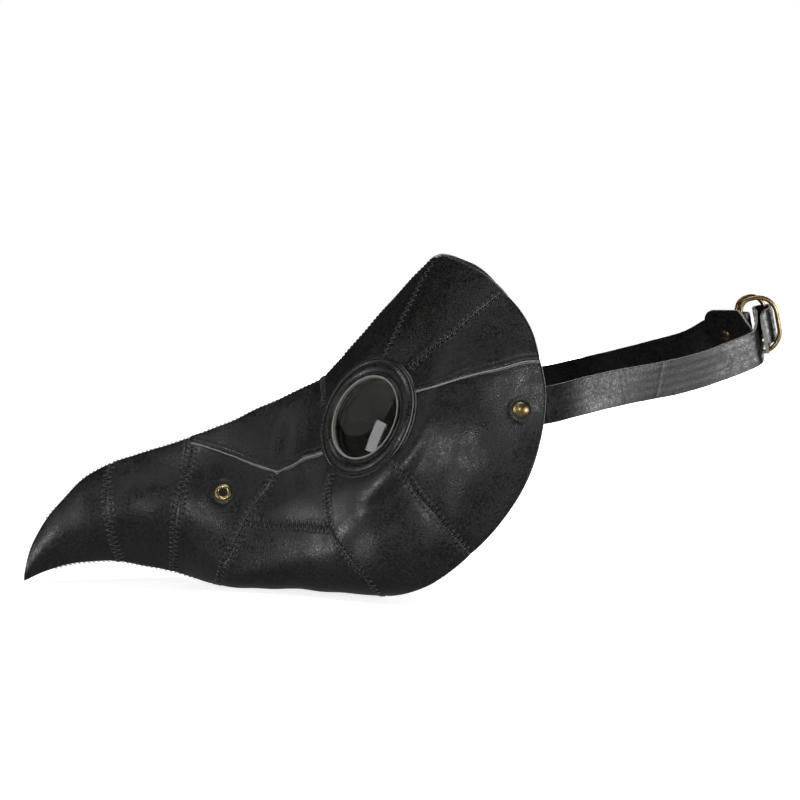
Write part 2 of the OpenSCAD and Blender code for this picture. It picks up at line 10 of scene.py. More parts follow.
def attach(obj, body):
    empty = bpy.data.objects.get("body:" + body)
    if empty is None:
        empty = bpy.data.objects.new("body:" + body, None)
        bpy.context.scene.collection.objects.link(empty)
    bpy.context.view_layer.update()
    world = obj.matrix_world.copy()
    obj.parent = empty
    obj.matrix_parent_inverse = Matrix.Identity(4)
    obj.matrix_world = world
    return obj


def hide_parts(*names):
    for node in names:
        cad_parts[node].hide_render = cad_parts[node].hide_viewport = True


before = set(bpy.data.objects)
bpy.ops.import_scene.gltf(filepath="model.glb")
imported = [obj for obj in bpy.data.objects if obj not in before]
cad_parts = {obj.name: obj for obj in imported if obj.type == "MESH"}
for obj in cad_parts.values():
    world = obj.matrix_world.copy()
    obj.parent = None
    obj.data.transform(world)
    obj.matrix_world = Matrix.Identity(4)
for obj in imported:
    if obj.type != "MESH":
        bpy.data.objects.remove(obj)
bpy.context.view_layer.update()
MM = 0.001
rng = np.random.default_rng(11)

# ---------------------------------------------------------------- the half shell's shape, in mm
RIDGE = [(-218, 3), (-216, 14), (-212, 25), (-202, 41), (-185, 59), (-167, 69.5), (-145, 77),
         (-122, 84.5), (-98, 94), (-76, 104), (-58, 112), (-46, 118), (-38, 126.5), (-15, 152),
         (10, 180), (40, 213), (80, 257)]
KEEL = [(-218, 0.8), (-206, 6), (-191, 10.5), (-176, 12), (-161, 11.6), (-147, 9.2), (-132, 6),
        (-122, 3.2), (-112, 0.6), (-104, 0), (0, 0), (80, 0)]
HALF_WIDTH = [(-218, 0.2), (-205, 6), (-190, 11), (-170, 16), (-145, 21), (-120, 26), (-100, 31),
              (-80, 37), (-60, 44.5), (-45, 52), (-30, 61.5), (-15, 72), (0, 80), (20, 85.5),
              (45, 86.5), (80, 86.5)]
RIDGE_POWER = [(-218, 0.95), (-120, 0.85), (-60, 0.7), (-20, 0.55), (20, 0.45), (60, 0.38),
               (80, 0.36)]
KEEL_POWER = [(-218, 0.95), (-130, 0.9), (-112, 0.5), (-98, 0.26), (-60, 0.17), (-20, 0.14),
              (80, 0.15)]
EYE_AT = np.array([-18.7, 51.0, 99.3])
EYE_SLOPE_X, EYE_SLOPE_Z = 1.0, -0.575
EYE_FLAT_R, EYE_FADE, EYE_HOLE_R, RIDGE_BLEND = 35.0, 40.0, 34.5, 0.14
EYE_SOFT, EYE_SOFT_FADE = 6.0, 20.0
MID_GAP = 0.15
LEATHER_T = 1.6
RIVET_X, RIVET_Z, VENT_X, VENT_Z = 63.8, 107.5, -101.3, 55.1
RING_AT = np.array([193.6, 0.0, 146.6])
RING_TURN = (15, -2, -44)


def unit(v):
    v = np.asarray(v, float)
    return v / np.maximum(np.linalg.norm(v, axis=-1, keepdims=True), 1e-9)


def lengths(p):
    """Distance along a line at each of its points."""
    return np.concatenate([[0], np.cumsum(np.linalg.norm(np.diff(p, axis=0), axis=1))])


def resample(want, run, p):
    """Points at the distances wanted along a line."""
    return np.stack([np.interp(want, run, c) for c in p.T], axis=-1)


EYE_AXIS = -unit([EYE_SLOPE_X, 1, EYE_SLOPE_Z])
EYE_UP = unit(np.array([0, 0, 1]) - EYE_AXIS[2] * EYE_AXIS)
EYE_SIDE = np.cross(EYE_UP, EYE_AXIS)
EYE_CENTRE = np.array([EYE_AT[0], -EYE_AT[1] - MID_GAP, EYE_AT[2]])


def along(table, x):
    """Smooth value of a profile at x."""
    t = np.array(table, float)
    x = np.asarray(x, float)
    i = np.clip(np.searchsorted(t[:, 0], x, side="right") - 1, 0, len(t) - 2)
    lo = np.maximum(np.arange(len(t)) - 1, 0)
    hi = np.minimum(np.arange(len(t)) + 1, len(t) - 1)
    slope = (t[hi, 1] - t[lo, 1]) / (t[hi, 0] - t[lo, 0])
    w = t[i + 1, 0] - t[i, 0]
    u = (x - t[i, 0]) / w
    return (t[i, 1] * (2 * u**3 - 3 * u**2 + 1) + slope[i] * w * (u**3 - 2 * u**2 + u)
            + t[i + 1, 1] * (3 * u**2 - 2 * u**3) + slope[i + 1] * w * (u**3 - u**2))


def drop_share(x, g):
    a = g ** (1 / along(RIDGE_POWER, x))
    b = (1 - g) ** (1 / along(KEEL_POWER, x))
    return a / (a + b)


def ease(t):
    u = np.clip(t, 0, 1)
    return u * u * (3 - 2 * u)


def skin(x, g):
    """Points of the left outer surface at stations x and girths g (0 ridge, 1 underside)."""
    x, g = np.broadcast_arrays(np.asarray(x, float), np.clip(np.asarray(g, float), 0, 1))
    s = drop_share(x, g)
    top = along(RIDGE, x)
    z = top - s * (top - along(KEEL, x))
    p, q = along(RIDGE_POWER, x), along(KEEL_POWER, x)
    full = p / (p + q)
    side = along(HALF_WIDTH, x) * (s / full) ** p * ((1 - s) / (1 - full)) ** q
    flat = EYE_AT[1] + EYE_SLOPE_X * (x - EYE_AT[0]) + EYE_SLOPE_Z * (z - EYE_AT[2])
    away = np.sqrt((x - EYE_AT[0])**2 + (flat - EYE_AT[1])**2 + (z - EYE_AT[2])**2)
    keep = 1 - (1 - ease((away - EYE_FLAT_R) / EYE_FADE)) * ease(g / RIDGE_BLEND)
    proud = np.maximum(0, flat - side)
    cut = proud - EYE_SOFT * (1 - np.exp(-proud / EYE_SOFT))
    cut = cut * ease((away - EYE_FLAT_R) / EYE_SOFT_FADE)
    return np.stack([x, -MID_GAP - side - (1 - keep) * (flat - side - cut), z], axis=-1)


def girth(x, z):
    x, z = np.broadcast_arrays(np.asarray(x, float), np.asarray(z, float))
    lo, hi = np.zeros(x.shape), np.ones(x.shape)
    top = along(RIDGE, x)
    want = (top - z) / (top - along(KEEL, x))
    for _ in range(26):
        g = (lo + hi) / 2
        below = drop_share(x, g) < want
        lo, hi = np.where(below, g, lo), np.where(below, hi, g)
    return (lo + hi) / 2


def skin_frame(x, g):
    """Point, outward normal and the two surface derivatives at (x, g)."""
    e, f = 0.25, 0.002
    g = np.clip(g, f, 1 - f)
    dx = (skin(x + e, g) - skin(x - e, g)) / (2 * e)
    dg = (skin(x, g + f) - skin(x, g - f)) / (2 * f)
    return skin(x, g), unit(-np.cross(dx, dg)), dx, dg


def shift(x, g, move):
    """Moves surface points by 3-D vectors laid along the surface; returns new (x, g)."""
    for part in (0.5, 0.5):
        _, _, dx, dg = skin_frame(x, g)
        a, b, c = (dx * dx).sum(-1), (dx * dg).sum(-1), (dg * dg).sum(-1)
        r, s = (dx * move * part).sum(-1), (dg * move * part).sum(-1)
        det = np.maximum(a * c - b * b, 1e-6)
        x = x + (c * r - b * s) / det
        g = np.clip(g + (a * s - b * r) / det, 0, 1)
    return x, g


def ridge(x):
    return (x, 0.0)


def keel(x):
    return (x, 1.0)


def at(x, z):
    return (x, float(girth(x, z)))


def eye_edge(a):
    a = math.radians(a)
    c = (np.array([EYE_AT[0], -EYE_AT[1], EYE_AT[2]])
         + EYE_HOLE_R * (math.cos(a) * EYE_SIDE + math.sin(a) * EYE_UP))
    return at(c[0], c[2])


def eye_arc(a, b, n):
    return [eye_edge(a + (b - a) * i / n) for i in range(n + 1)]


def smooth_at(p, t):
    p = np.asarray(p, float)
    ext = np.vstack([2 * p[0] - p[1], p, 2 * p[-1] - p[-2]])
    i = np.clip(np.floor(t).astype(int), 0, len(p) - 2)
    u = (t - i)[..., None]
    a, b, c, d = ext[i], ext[i + 1], ext[i + 2], ext[i + 3]
    return 0.5 * (2 * b + (c - a) * u + (2 * a - 5 * b + 4 * c - d) * u**2
                  + (3 * b - a - 3 * c + d) * u**3)


def smooth(p, n):
    return smooth_at(p, np.arange(n + 1) * (len(p) - 1) / n)


def join(*lists):
    out = np.asarray(lists[0], float)
    for more in lists[1:]:
        out = np.vstack([out, np.asarray(more, float)[1:]])
    return out


# Seam lines of the left half
SEAM_TIP = [ridge(-166.6), at(-168.6, 60), at(-168.6, 50), at(-167.4, 40), at(-165.5, 28),
            keel(-162)]
LAP_START = at(-121, 81.5)
SEAM_MIDDLE = [LAP_START, at(-121.5, 71), at(-124, 60), at(-126.3, 50.5), at(-128.3, 38),
               at(-129.8, 25.5), keel(-131.6)]
LAP_BEND = at(-70.1, 67.5)
LEVEL_START, LEVEL_END = at(-88, 40.7), at(-39.2, 40.4)
SEAM_ROOT_UPPER = [LAP_BEND, at(-76.8, 57.5), at(-82.4, 49.7), LEVEL_START]
SEAM_ROOT_LOWER = [LEVEL_START, at(-92.5, 31), at(-97.9, 19.7), at(-102.4, 11), keel(-107.5)]
SEAM_LEVEL = [LEVEL_START, at(-66.9, 39.6), at(-52.2, 39.4), LEVEL_END]
SEAM_UNDER_EYE = [eye_edge(243), at(-41.2, 60), at(-40.8, 51.7), LEVEL_END]
CHIN_CORNER = at(-9, 1.2)
SEAM_CHIN = [LEVEL_END, at(-34.7, 33.6), at(-29.7, 26.3), at(-24.1, 18.7), at(-17.5, 11),
             CHIN_CORNER]
JAW_CORNER = at(37, 29)
SEAM_JAW = [eye_edge(-41), at(2.8, 70.7), at(8, 62.9), at(13.7, 56.1), at(19.7, 49.4),
            at(24.9, 42.8), JAW_CORNER]
LAP_REAR_END = at(74.1, 134.1)
LAP_REAR = [eye_edge(31), at(24.1, 121.8), at(41.4, 127), at(56.3, 130.7), LAP_REAR_END]
TEMPLE_CORNER = at(54.5, 170.6)
SEAM_TEMPLE = [eye_edge(57), at(13.5, 137.2), at(25.8, 146.5), at(35, 154.5), at(44.2, 162.5),
               TEMPLE_CORNER]
BROW_CORNER = at(20.5, 187.8)
SEAM_BROW = [eye_edge(93), at(-5.4, 143.5), at(0.2, 154.6), at(5.2, 164.5), at(11, 175),
             BROW_CORNER]
EDGE_BROW = [ridge(16.5), at(18.6, 187.7), BROW_CORNER]
EDGE_FOREHEAD = [BROW_CORNER, at(26.3, 187.8), at(33.6, 185.3), at(42.9, 180.9), TEMPLE_CORNER]
EDGE_TEMPLE = [TEMPLE_CORNER, at(60.5, 164.5), at(66.4, 156.5), at(70.9, 147), LAP_REAR_END]
EDGE_CHEEK = [LAP_REAR_END, at(76.9, 120.3), at(76.8, 107), at(74.5, 92), at(70, 76),
              at(63.2, 61.5), at(54.6, 48.5), JAW_CORNER]
EDGE_JAW = [JAW_CORNER, at(28, 20.5), at(17, 12), at(5, 5.5), CHIN_CORNER]
EDGE_CHIN = [CHIN_CORNER, (-10, (1 + CHIN_CORNER[1]) / 2), keel(-13)]
BRIDGE_TOP = [ridge(-46), eye_edge(155)]
NOSE_ROW = [ridge(-46), at(-45.2, 112.5), at(-45, 103)]
LAP_FRONT_A = [LAP_START, at(-107.8, 78.6), at(-95.9, 75), at(-84.6, 71.3), LAP_BEND]
LAP_FRONT_B = [LAP_BEND, at(-62.3, 71), at(-53.9, 75.6), eye_edge(218)]

# Each patch: its four edges and how each edge is finished (top, bottom, left, right):
# mid = sewn to the other half, sew = zigzag butt seam, over / under = the two sides of a lap,
# eye = under the eye's rings, free = cut edge of the mask
PATCHES = {
    "beak_tip": (smooth([ridge(-218), ridge(-166.6)], 18), smooth([keel(-218), keel(-162)], 18),
                 smooth([ridge(-218), keel(-218)], 16), smooth(SEAM_TIP, 16),
                 ("mid", "mid", "mid", "sew")),
    "beak_middle": (smooth([ridge(-166.6), ridge(-122)], 12),
                    smooth([keel(-162), keel(-131.6)], 12), smooth(SEAM_TIP, 18),
                    join(smooth([ridge(-122), LAP_START], 2), smooth(SEAM_MIDDLE, 16)),
                    ("mid", "mid", "sew", "sew")),
    "vent_patch": (smooth(LAP_FRONT_A, 16), smooth([keel(-131.6), keel(-107.5)], 16),
                   smooth(SEAM_MIDDLE, 16),
                   join(smooth(SEAM_ROOT_UPPER, 8), smooth(SEAM_ROOT_LOWER, 8)),
                   ("under", "mid", "sew", "sew")),
    "bridge_patch": (smooth([ridge(-122), ridge(-46)], 20),
                     join(smooth(LAP_FRONT_A, 12), smooth(LAP_FRONT_B, 8)),
                     smooth([ridge(-122), LAP_START], 12),
                     join(smooth(BRIDGE_TOP, 4), eye_arc(155, 218, 8)),
                     ("mid", "over", "sew", "eye")),
    "front_cheek": (join(smooth(LAP_FRONT_B, 10), eye_arc(218, 243, 4)), smooth(SEAM_LEVEL, 14),
                    smooth(SEAM_ROOT_UPPER, 10), smooth(SEAM_UNDER_EYE, 10),
                    ("under", "sew", "sew", "sew")),
    "lower_front": (smooth(SEAM_LEVEL, 16), smooth([keel(-107.5), keel(-13)], 16),
                    smooth(SEAM_ROOT_LOWER, 18),
                    join(smooth(SEAM_CHIN, 12), smooth(EDGE_CHIN, 6)),
                    ("sew", "mid", "sew", "sew")),
    "lower_cheek": (smooth(SEAM_JAW, 24), join(smooth(SEAM_UNDER_EYE, 12), smooth(SEAM_CHIN, 12)),
                    eye_arc(-41, -117, 16), smooth(EDGE_JAW, 16), ("sew", "sew", "eye", "free")),
    "rear_cheek": (smooth(LAP_REAR, 16), smooth(SEAM_JAW, 16), eye_arc(31, -41, 16),
                   smooth(EDGE_CHEEK, 16), ("under", "sew", "eye", "free")),
    "temple": (smooth(SEAM_TEMPLE, 16), smooth(LAP_REAR, 16), eye_arc(57, 31, 8),
               smooth(EDGE_TEMPLE, 8), ("sew", "over", "eye", "free")),
    "forehead_side": (smooth(SEAM_BROW, 16), smooth(SEAM_TEMPLE, 16), eye_arc(93, 57, 10),
                      smooth(EDGE_FOREHEAD, 10), ("sew", "sew", "eye", "free")),
    "brow_strip": (smooth([ridge(-46), ridge(16.5)], 20),
                   join(eye_arc(155, 93, 8), smooth(SEAM_BROW, 12)), smooth(BRIDGE_TOP, 8),
                   smooth(EDGE_BROW, 8), ("mid", "sew", "sew", "free")),
}

# Soft swells and hollows of the leather: from (x, z) to (x, z), half width and height, in mm
SWELLS = [((-6, 76), (-31, 36), 7.0, 1.3), ((-10, 66), (-32, 34), 26.0, 2.2),
          ((-90, 8), (-40, 27), 9.0, 1.4), ((-80, 41), (-44, 40), 5.0, -0.8),
          ((6, 68), (34, 32), 4.5, -0.7), ((-60, 56), (-46, 46), 9.0, 0.9),
          ((36, 92), (38, 78), 20.0, 2.6), ((-150, 44), (-138, 30), 10.0, 0.5)]


# ---------------------------------------------------------------- camera and studio
CAMERA_TARGET = Vector((-1.5, 0.0, 105.5)) * MM
CAMERA_TILT = math.radians(5)
CAMERA_DISTANCE, CAMERA_LENS, SENSOR_WIDTH = 1.5, 118.0, 36.0


def make_camera():
    """Looks along +Y at the left side, a little from above."""
    look = Vector((0, math.cos(CAMERA_TILT), -math.sin(CAMERA_TILT)))
    data = bpy.data.cameras.new("camera")
    data.lens, data.sensor_width, data.clip_end = CAMERA_LENS, SENSOR_WIDTH, 50.0
    cam = bpy.data.objects.new("camera", data)
    bpy.context.scene.collection.objects.link(cam)
    cam.location = CAMERA_TARGET - look * CAMERA_DISTANCE
    cam.rotation_euler = look.to_track_quat("-Z", "Y").to_euler()
    bpy.context.scene.camera = cam


# Lights: name, place, aim, width and height in metres, and power in watts
LIGHTS = (("left_low", (-1.16, -0.42, 0.03), (-0.05, 0, 0.06), (0.20, 0.42), 3.8),
          ("left_window", (-1.14, -0.18, 0.52), (-0.02, -0.05, 0.10), (0.15, 0.28), 0.6),
          ("left_high", (-0.80, -0.62, 1.10), (-0.08, 0, 0.08), (0.40, 0.40), 1.1),
          ("front", (-0.40, -1.84, 0.33), (0.03, 0, 0.08), (0.20, 0.35), 7.5),
          ("right", (1.12, -0.70, 0.02), (0.08, 0, 0.10), (0.50, 0.40), 10),
          ("top", (0.0, 0.0, 1.5), (0, 0, 0.0), (0.9, 0.4), 8),
          ("behind", (0.30, 1.8, 0.25), (0, 0, 0.08), (0.8, 0.6), 12),
          ("behind_right", (1.3, 1.2, 0.45), (0.05, 0, 0.08), (0.6, 0.6), 8))


def area_light(name, place, aim, size, power):
    data = bpy.data.lights.new(name, "AREA")
    data.shape = "RECTANGLE"
    data.size, data.size_y, data.energy = size[0], size[1], power
    lamp = bpy.data.objects.new(name, data)
    bpy.context.scene.collection.objects.link(lamp)
    lamp.location = place
    lamp.rotation_euler = (Vector(aim) - Vector(place)).to_track_quat("-Z", "Y").to_euler()


# Light from the surroundings by height of direction: floor bounce below, dim room above
WORLD_GLOW = ((0.0, 0.22), (0.34, 0.18), (0.44, 0.04), (0.55, 0.02), (1.0, 0.006))


def make_world():
    """White to the camera and through the lenses, a dim glow to everything else."""
    world = bpy.data.worlds.new("studio")
    bpy.context.scene.world = world
    world.use_nodes = True
    nodes, links = world.node_tree.nodes, world.node_tree.links
    nodes.clear()
    out = nodes.new("ShaderNodeOutputWorld")
    seen, lit = nodes.new("ShaderNodeBackground"), nodes.new("ShaderNodeBackground")
    preset(seen, {"Color": (1, 1, 1, 1), "Strength": 1.0})
    preset(lit, {"Strength": 1.0})
    way, part = nodes.new("ShaderNodeTexCoord"), nodes.new("ShaderNodeSeparateXYZ")
    links.new(way.outputs["Generated"], part.inputs[0])
    # The glow follows the height, which runs from -1 to 1
    half = nodes.new("ShaderNodeMapRange")
    preset(half, {"From Min": -1})
    links.new(part.outputs["Z"], half.inputs["Value"])
    vary(nodes, links, lit, "Color", half.outputs[0], WORLD_GLOW)
    ray, mix = nodes.new("ShaderNodeLightPath"), nodes.new("ShaderNodeMixShader")
    clear = nodes.new("ShaderNodeMath")
    clear.operation = "MAXIMUM"
    links.new(ray.outputs["Is Camera Ray"], clear.inputs[0])
    links.new(ray.outputs["Is Transmission Ray"], clear.inputs[1])
    links.new(clear.outputs[0], mix.inputs[0])
    links.new(lit.outputs[0], mix.inputs[1])
    links.new(seen.outputs[0], mix.inputs[2])
    links.new(mix.outputs[0], out.inputs[0])


def make_studio():
    make_world()
    for light in LIGHTS:
        area_light(*light)
    view = bpy.context.scene.view_settings
    view.view_transform = "Standard"
    view.look = "None"
    floor = grid_object("floor", 8.0, 24, -0.0001)
    floor.data.materials.append(floor_material())
    floor.visible_diffuse = floor.visible_glossy = floor.visible_shadow = False


# ---------------------------------------------------------------- mesh helpers
def new_object(name, verts, faces, mats, index=None, sharp_deg=None):
    """Makes a smooth-shaded mesh object from points in millimetres."""
    mesh = bpy.data.meshes.new(name)
    mesh.from_pydata((np.asarray(verts) * MM).tolist(), [], np.asarray(faces).tolist()
                     if not isinstance(faces, list) else faces)
    mesh.polygons.foreach_set("use_smooth", [True] * len(mesh.polygons))
    for m in mats:
        mesh.materials.append(m)
    if index is not None:
        mesh.polygons.foreach_set("material_index", np.asarray(index, np.int32))
    if sharp_deg:
        mesh.set_sharp_from_angle(angle=math.radians(sharp_deg))
    mesh.update()
    obj = bpy.data.objects.new(name, mesh)
    bpy.context.scene.collection.objects.link(obj)
    return obj


def grid_object(name, size, n, height):
    s = np.linspace(-size / 2, size / 2, n + 1) / MM
    verts = [(x, y, height / MM) for x in s for y in s]
    return new_object(name, verts, grid_faces(n + 1, n + 1), [])


def grid_faces(rows, cols, start=0, flip=False, wrap_rows=False, wrap_cols=False):
    i, j = np.meshgrid(np.arange(rows if wrap_rows else rows - 1),
                       np.arange(cols if wrap_cols else cols - 1), indexing="ij")
    i, j = i.ravel(), j.ravel()
    i2, j2 = (i + 1) % rows, (j + 1) % cols
    quad = np.stack([i * cols + j, i2 * cols + j, i2 * cols + j2, i * cols + j2], axis=1)
    return start + (quad[:, ::-1] if flip else quad)


SIDES = (("left", False), ("right", True))


def mirrored(verts, right):
    return np.asarray(verts) * ([1, -1, 1] if right else [1, 1, 1])


def lathe(profile, segments=160, close=True):
    """Points and faces of a profile of (radius, height) turned about the z axis."""
    p = np.asarray(profile, float)
    a = np.linspace(0, 2 * math.pi, segments, endpoint=False)
    verts = np.stack([p[:, 0][:, None] * np.cos(a), p[:, 0][:, None] * np.sin(a),
                      np.repeat(p[:, 1][:, None], segments, 1)], axis=-1).reshape(-1, 3)
    return verts, grid_faces(len(p), segments, flip=True, wrap_rows=close, wrap_cols=True)


def tubes(paths, lifts, radius, sides=6, taper=0.75):
    """Small tubes along many short paths at once: paths (n, k, 3), up directions (n, k, 3)."""
    paths, lifts = np.asarray(paths, float), np.asarray(lifts, float)
    n, k, _ = paths.shape
    ahead = unit(np.gradient(paths, axis=1))
    across = unit(np.cross(lifts, ahead))
    up = np.cross(ahead, across)
    r = np.full(k, radius)
    r[0] = r[-1] = radius * taper
    a = np.linspace(0, 2 * math.pi, sides, endpoint=False)
    ring = (np.cos(a)[:, None] * up[:, :, None, :] + np.sin(a)[:, None] * across[:, :, None, :])
    verts = (paths[:, :, None, :] + r[None, :, None, None] * ring).reshape(-1, 3)
    one = grid_faces(k, sides, wrap_cols=True)
    caps = [list(range(sides)), [(k - 1) * sides + s for s in reversed(range(sides))]]
    faces = []
    step = k * sides
    body = one.tolist()
    for i in range(n):
        o = i * step
        faces += [[q + o for q in f] for f in body]
        faces += [[q + o for q in c] for c in caps]
    return verts, faces


# ---------------------------------------------------------------- materials
def material(name, color, rough, metal=0.0):
    m = bpy.data.materials.new(name)
    m.use_nodes = True
    n = m.node_tree.nodes
    bsdf = n["Principled BSDF"]
    preset(bsdf, {"Base Color": (*color, 1), "Roughness": rough, "Metallic": metal})
    coord = n.new("ShaderNodeTexCoord")
    return m, n, m.node_tree.links, bsdf, coord.outputs["Object"]


def preset(node, values):
    for name, value in values.items():
        node.inputs[name].default_value = value


def noise(n, links, coord, scale, detail=3.0, rough=0.55):
    t = n.new("ShaderNodeTexNoise")
    preset(t, {"Scale": scale, "Detail": detail, "Roughness": rough})
    links.new(coord, t.inputs["Vector"])
    return t.outputs["Fac"]


def ramp(n, links, value, stops):
    """A colour ramp; each stop is a place and either a grey level or a colour."""
    r = n.new("ShaderNodeValToRGB")
    while len(r.color_ramp.elements) < len(stops):
        r.color_ramp.elements.new(0.5)
    for e, (pos, col) in zip(r.color_ramp.elements, stops):
        e.position = pos
        e.color = (*(col if np.ndim(col) else (col, col, col)), 1)
    links.new(value, r.inputs["Fac"])
    return r.outputs["Color"]


def vary(n, links, bsdf, slot, value, stops):
    links.new(ramp(n, links, value, stops), bsdf.inputs[slot])


def bump(n, links, bsdf, layers):
    """Chains bump layers of (height socket, strength, distance in metres)."""
    last = None
    for height, strength, distance in layers:
        b = n.new("ShaderNodeBump")
        preset(b, {"Strength": strength, "Distance": distance})
        links.new(height, b.inputs["Height"])
        if last:
            links.new(last, b.inputs["Normal"])
        last = b.outputs["Normal"]
    links.new(last, bsdf.inputs["Normal"])


def leather(name, tone, rough, grain=1.0):
    """Smooth coated leather: fine pebbled grain with painted glints speckled into its colour, faint
    clouds of colour, worn satin patches.
    """
    m, n, links, bsdf, coord = material(name, tone, rough)
    cells = n.new("ShaderNodeTexVoronoi")
    cells.feature = "DISTANCE_TO_EDGE"
    cells.inputs["Scale"].default_value = 760
    links.new(coord, cells.inputs["Vector"])
    pebbles = noise(n, links, coord, 800, 2.0, 0.6)
    cloud = noise(n, links, coord, 38, 4.0)
    # The pebble speckle in the colour, up to twice the tone, is partly grain and partly painted
    # highlight: bright specks that stand in for glints of light off the grain.
    tone_and_glints = n.new("ShaderNodeMix")
    tone_and_glints.data_type, tone_and_glints.blend_type = "RGBA", "MULTIPLY"
    tone_and_glints.inputs[0].default_value = 1.0
    links.new(ramp(n, links, cloud, [(0.3, tuple(0.8 * c for c in tone)),
                                     (0.7, tuple(1.5 * c for c in tone))]), tone_and_glints.inputs[6])
    links.new(ramp(n, links, pebbles, [(0.36, 0.35), (0.52, 0.9), (0.68, 2.0)]),
              tone_and_glints.inputs[7])
    links.new(tone_and_glints.outputs[2], bsdf.inputs["Base Color"])
    wear = noise(n, links, coord, 120, 5.0)
    both = n.new("ShaderNodeMath")
    both.operation = "MULTIPLY_ADD"
    both.inputs[1].default_value = 0.55
    links.new(pebbles, both.inputs[0])
    half = n.new("ShaderNodeMath")
    half.operation = "MULTIPLY"
    half.inputs[1].default_value = 0.45
    links.new(wear, half.inputs[0])
    links.new(half.outputs[0], both.inputs[2])
    worn = [(0.32, rough - 0.15), (0.68, rough + 0.2)]
    vary(n, links, bsdf, "Roughness", both.outputs[0], worn)
    creases = noise(n, links, coord, 210, 5.0, 0.6)
    edge = ramp(n, links, cells.outputs["Distance"], [(0.0, 0), (0.22, 1)])
    bump(n, links, bsdf, [(creases, 0.06 * grain, 0.0008), (edge, 0.10 * grain, 0.0003),
                          (pebbles, 0.22 * grain, 0.0006)])
    return m


def raw_edge_with_painted_light(name, tone):
    """Cut edge of the leather: paler fibres with fine layers, made paler still as painted light so
    that edges turned away from the lamps look lit.
    """
    m, n, links, bsdf, coord = material(name, tone, 0.72)
    fibres = noise(n, links, coord, 1500, 4.0, 0.7)
    dark = tuple(0.45 * c for c in tone)
    vary(n, links, bsdf, "Base Color", fibres, [(0.35, dark), (0.65, tone)])
    bump(n, links, bsdf, [(fibres, 0.5, 0.0003)])
    return m


def thread_material():
    m, n, links, bsdf, coord = material("thread", (0.05, 0.05, 0.05), 0.30)
    ply = noise(n, links, coord, 3500, 2.0)
    vary(n, links, bsdf, "Base Color", ply, [(0.35, 0.012), (0.7, 0.09)])
    bump(n, links, bsdf, [(ply, 0.6, 0.0002)])
    bsdf.inputs["Sheen Weight"].default_value = 0.3
    return m


def lining_material():
    # Painted shade: the lining's colour is made near black so that the inside of the mask, seen
    # through the lenses, looks as dark as shade.
    m, n, links, bsdf, coord = material("lining", (0.03, 0.03, 0.03), 0.9)
    nap = noise(n, links, coord, 1400, 5.0, 0.7)
    patch = noise(n, links, coord, 60, 3.0)
    weave = n.new("ShaderNodeTexWave")
    preset(weave, {"Scale": 420, "Distortion": 1.5})
    links.new(coord, weave.inputs["Vector"])
    vary(n, links, bsdf, "Base Color", patch, [(0.3, 0.012), (0.7, 0.022)])
    bump(n, links, bsdf, [(nap, 0.6, 0.0005), (weave.outputs["Fac"], 0.25, 0.0003)])
    bsdf.inputs["Sheen Weight"].default_value = 0.25
    return m


def brass_material(name, tone, dark, rough, amount):
    """Plated brass with darker tarnish and fine scratches."""
    m, n, links, bsdf, coord = material(name, tone, rough, 1.0)
    tarnish = noise(n, links, coord, 260, 5.0, 0.6)
    scratch = noise(n, links, coord, 1900, 3.0, 0.7)
    vary(n, links, bsdf, "Base Color", tarnish,
         [(0.5 - amount / 2, dark), (0.5 + amount / 2, tone)])
    vary(n, links, bsdf, "Roughness", scratch, [(0.3, rough - 0.06), (0.7, rough + 0.12)])
    bump(n, links, bsdf, [(scratch, 0.10, 0.0001)])
    return m


def lens_material():
    """Clear dark plastic that lets rays straight through, with a glossy coat."""
    m, n, links, bsdf, coord = material("lens", (0.2, 0.2, 0.19), 0.03)
    smear = noise(n, links, coord, 90, 4.0, 0.6)
    vary(n, links, bsdf, "Roughness", smear, [(0.45, 0.012), (0.8, 0.05)])
    depth = noise(n, links, coord, 25, 2.0)
    vary(n, links, bsdf, "Base Color", depth,
         [(0.3, (0.105, 0.105, 0.098)), (0.7, (0.125, 0.125, 0.118))])
    preset(bsdf, {"Transmission Weight": 1.0, "IOR": 1.0, "Coat Weight": 1.0, "Coat IOR": 1.5,
                  "Coat Roughness": 0.03})
    return m


def floor_material():
    """White paper: its own glow grows away from the middle, so it fades into the white."""
    m, n, links, bsdf, coord = material("floor", (0.86, 0.86, 0.86), 0.6)
    fine = noise(n, links, coord, 30, 3.0)
    vary(n, links, bsdf, "Base Color", fine, [(0.3, 0.85), (0.7, 0.88)])
    far = n.new("ShaderNodeVectorMath")
    far.operation = "LENGTH"
    links.new(coord, far.inputs[0])
    vary(n, links, bsdf, "Emission Color", far.outputs["Value"], [(0.24, 0.78), (0.6, 1.0)])
    preset(bsdf, {"Emission Strength": 1.0, "Specular IOR Level": 0.1})
    return m


# ---------------------------------------------------------------- soft relief of the leather
def swell(x, z):
    """Soft swells and hollows."""
    h = np.zeros_like(x)
    for (a, b, width, high) in SWELLS:
        a, b = np.array(a, float), np.array(b, float)
        t = np.clip(((x - a[0]) * (b - a)[0] + (z - a[1]) * (b - a)[1]) / ((b - a)**2).sum(), 0, 1)
        away = np.hypot(x - a[0] - t * (b - a)[0], z - a[1] - t * (b - a)[1])
        h += high * np.exp(-(away / width)**2)
    return h


WAVES = rng.normal(0, 1, (14, 3)) / np.linspace(14, 34, 14)[::-1, None]
PHASES = rng.uniform(0, 6.28, 14)


def drift(p):
    """Slow unevenness of hand-shaped leather, in mm."""
    return 0.09 * np.sin(p @ WAVES.T * 3.2 + PHASES).sum(-1)


def relief(p):
    """Height of the leather over the plain surface, in mm."""
    return (swell(p[..., 0], p[..., 2]) + drift(p)) * ease((p[..., 0] + 216) / 30)


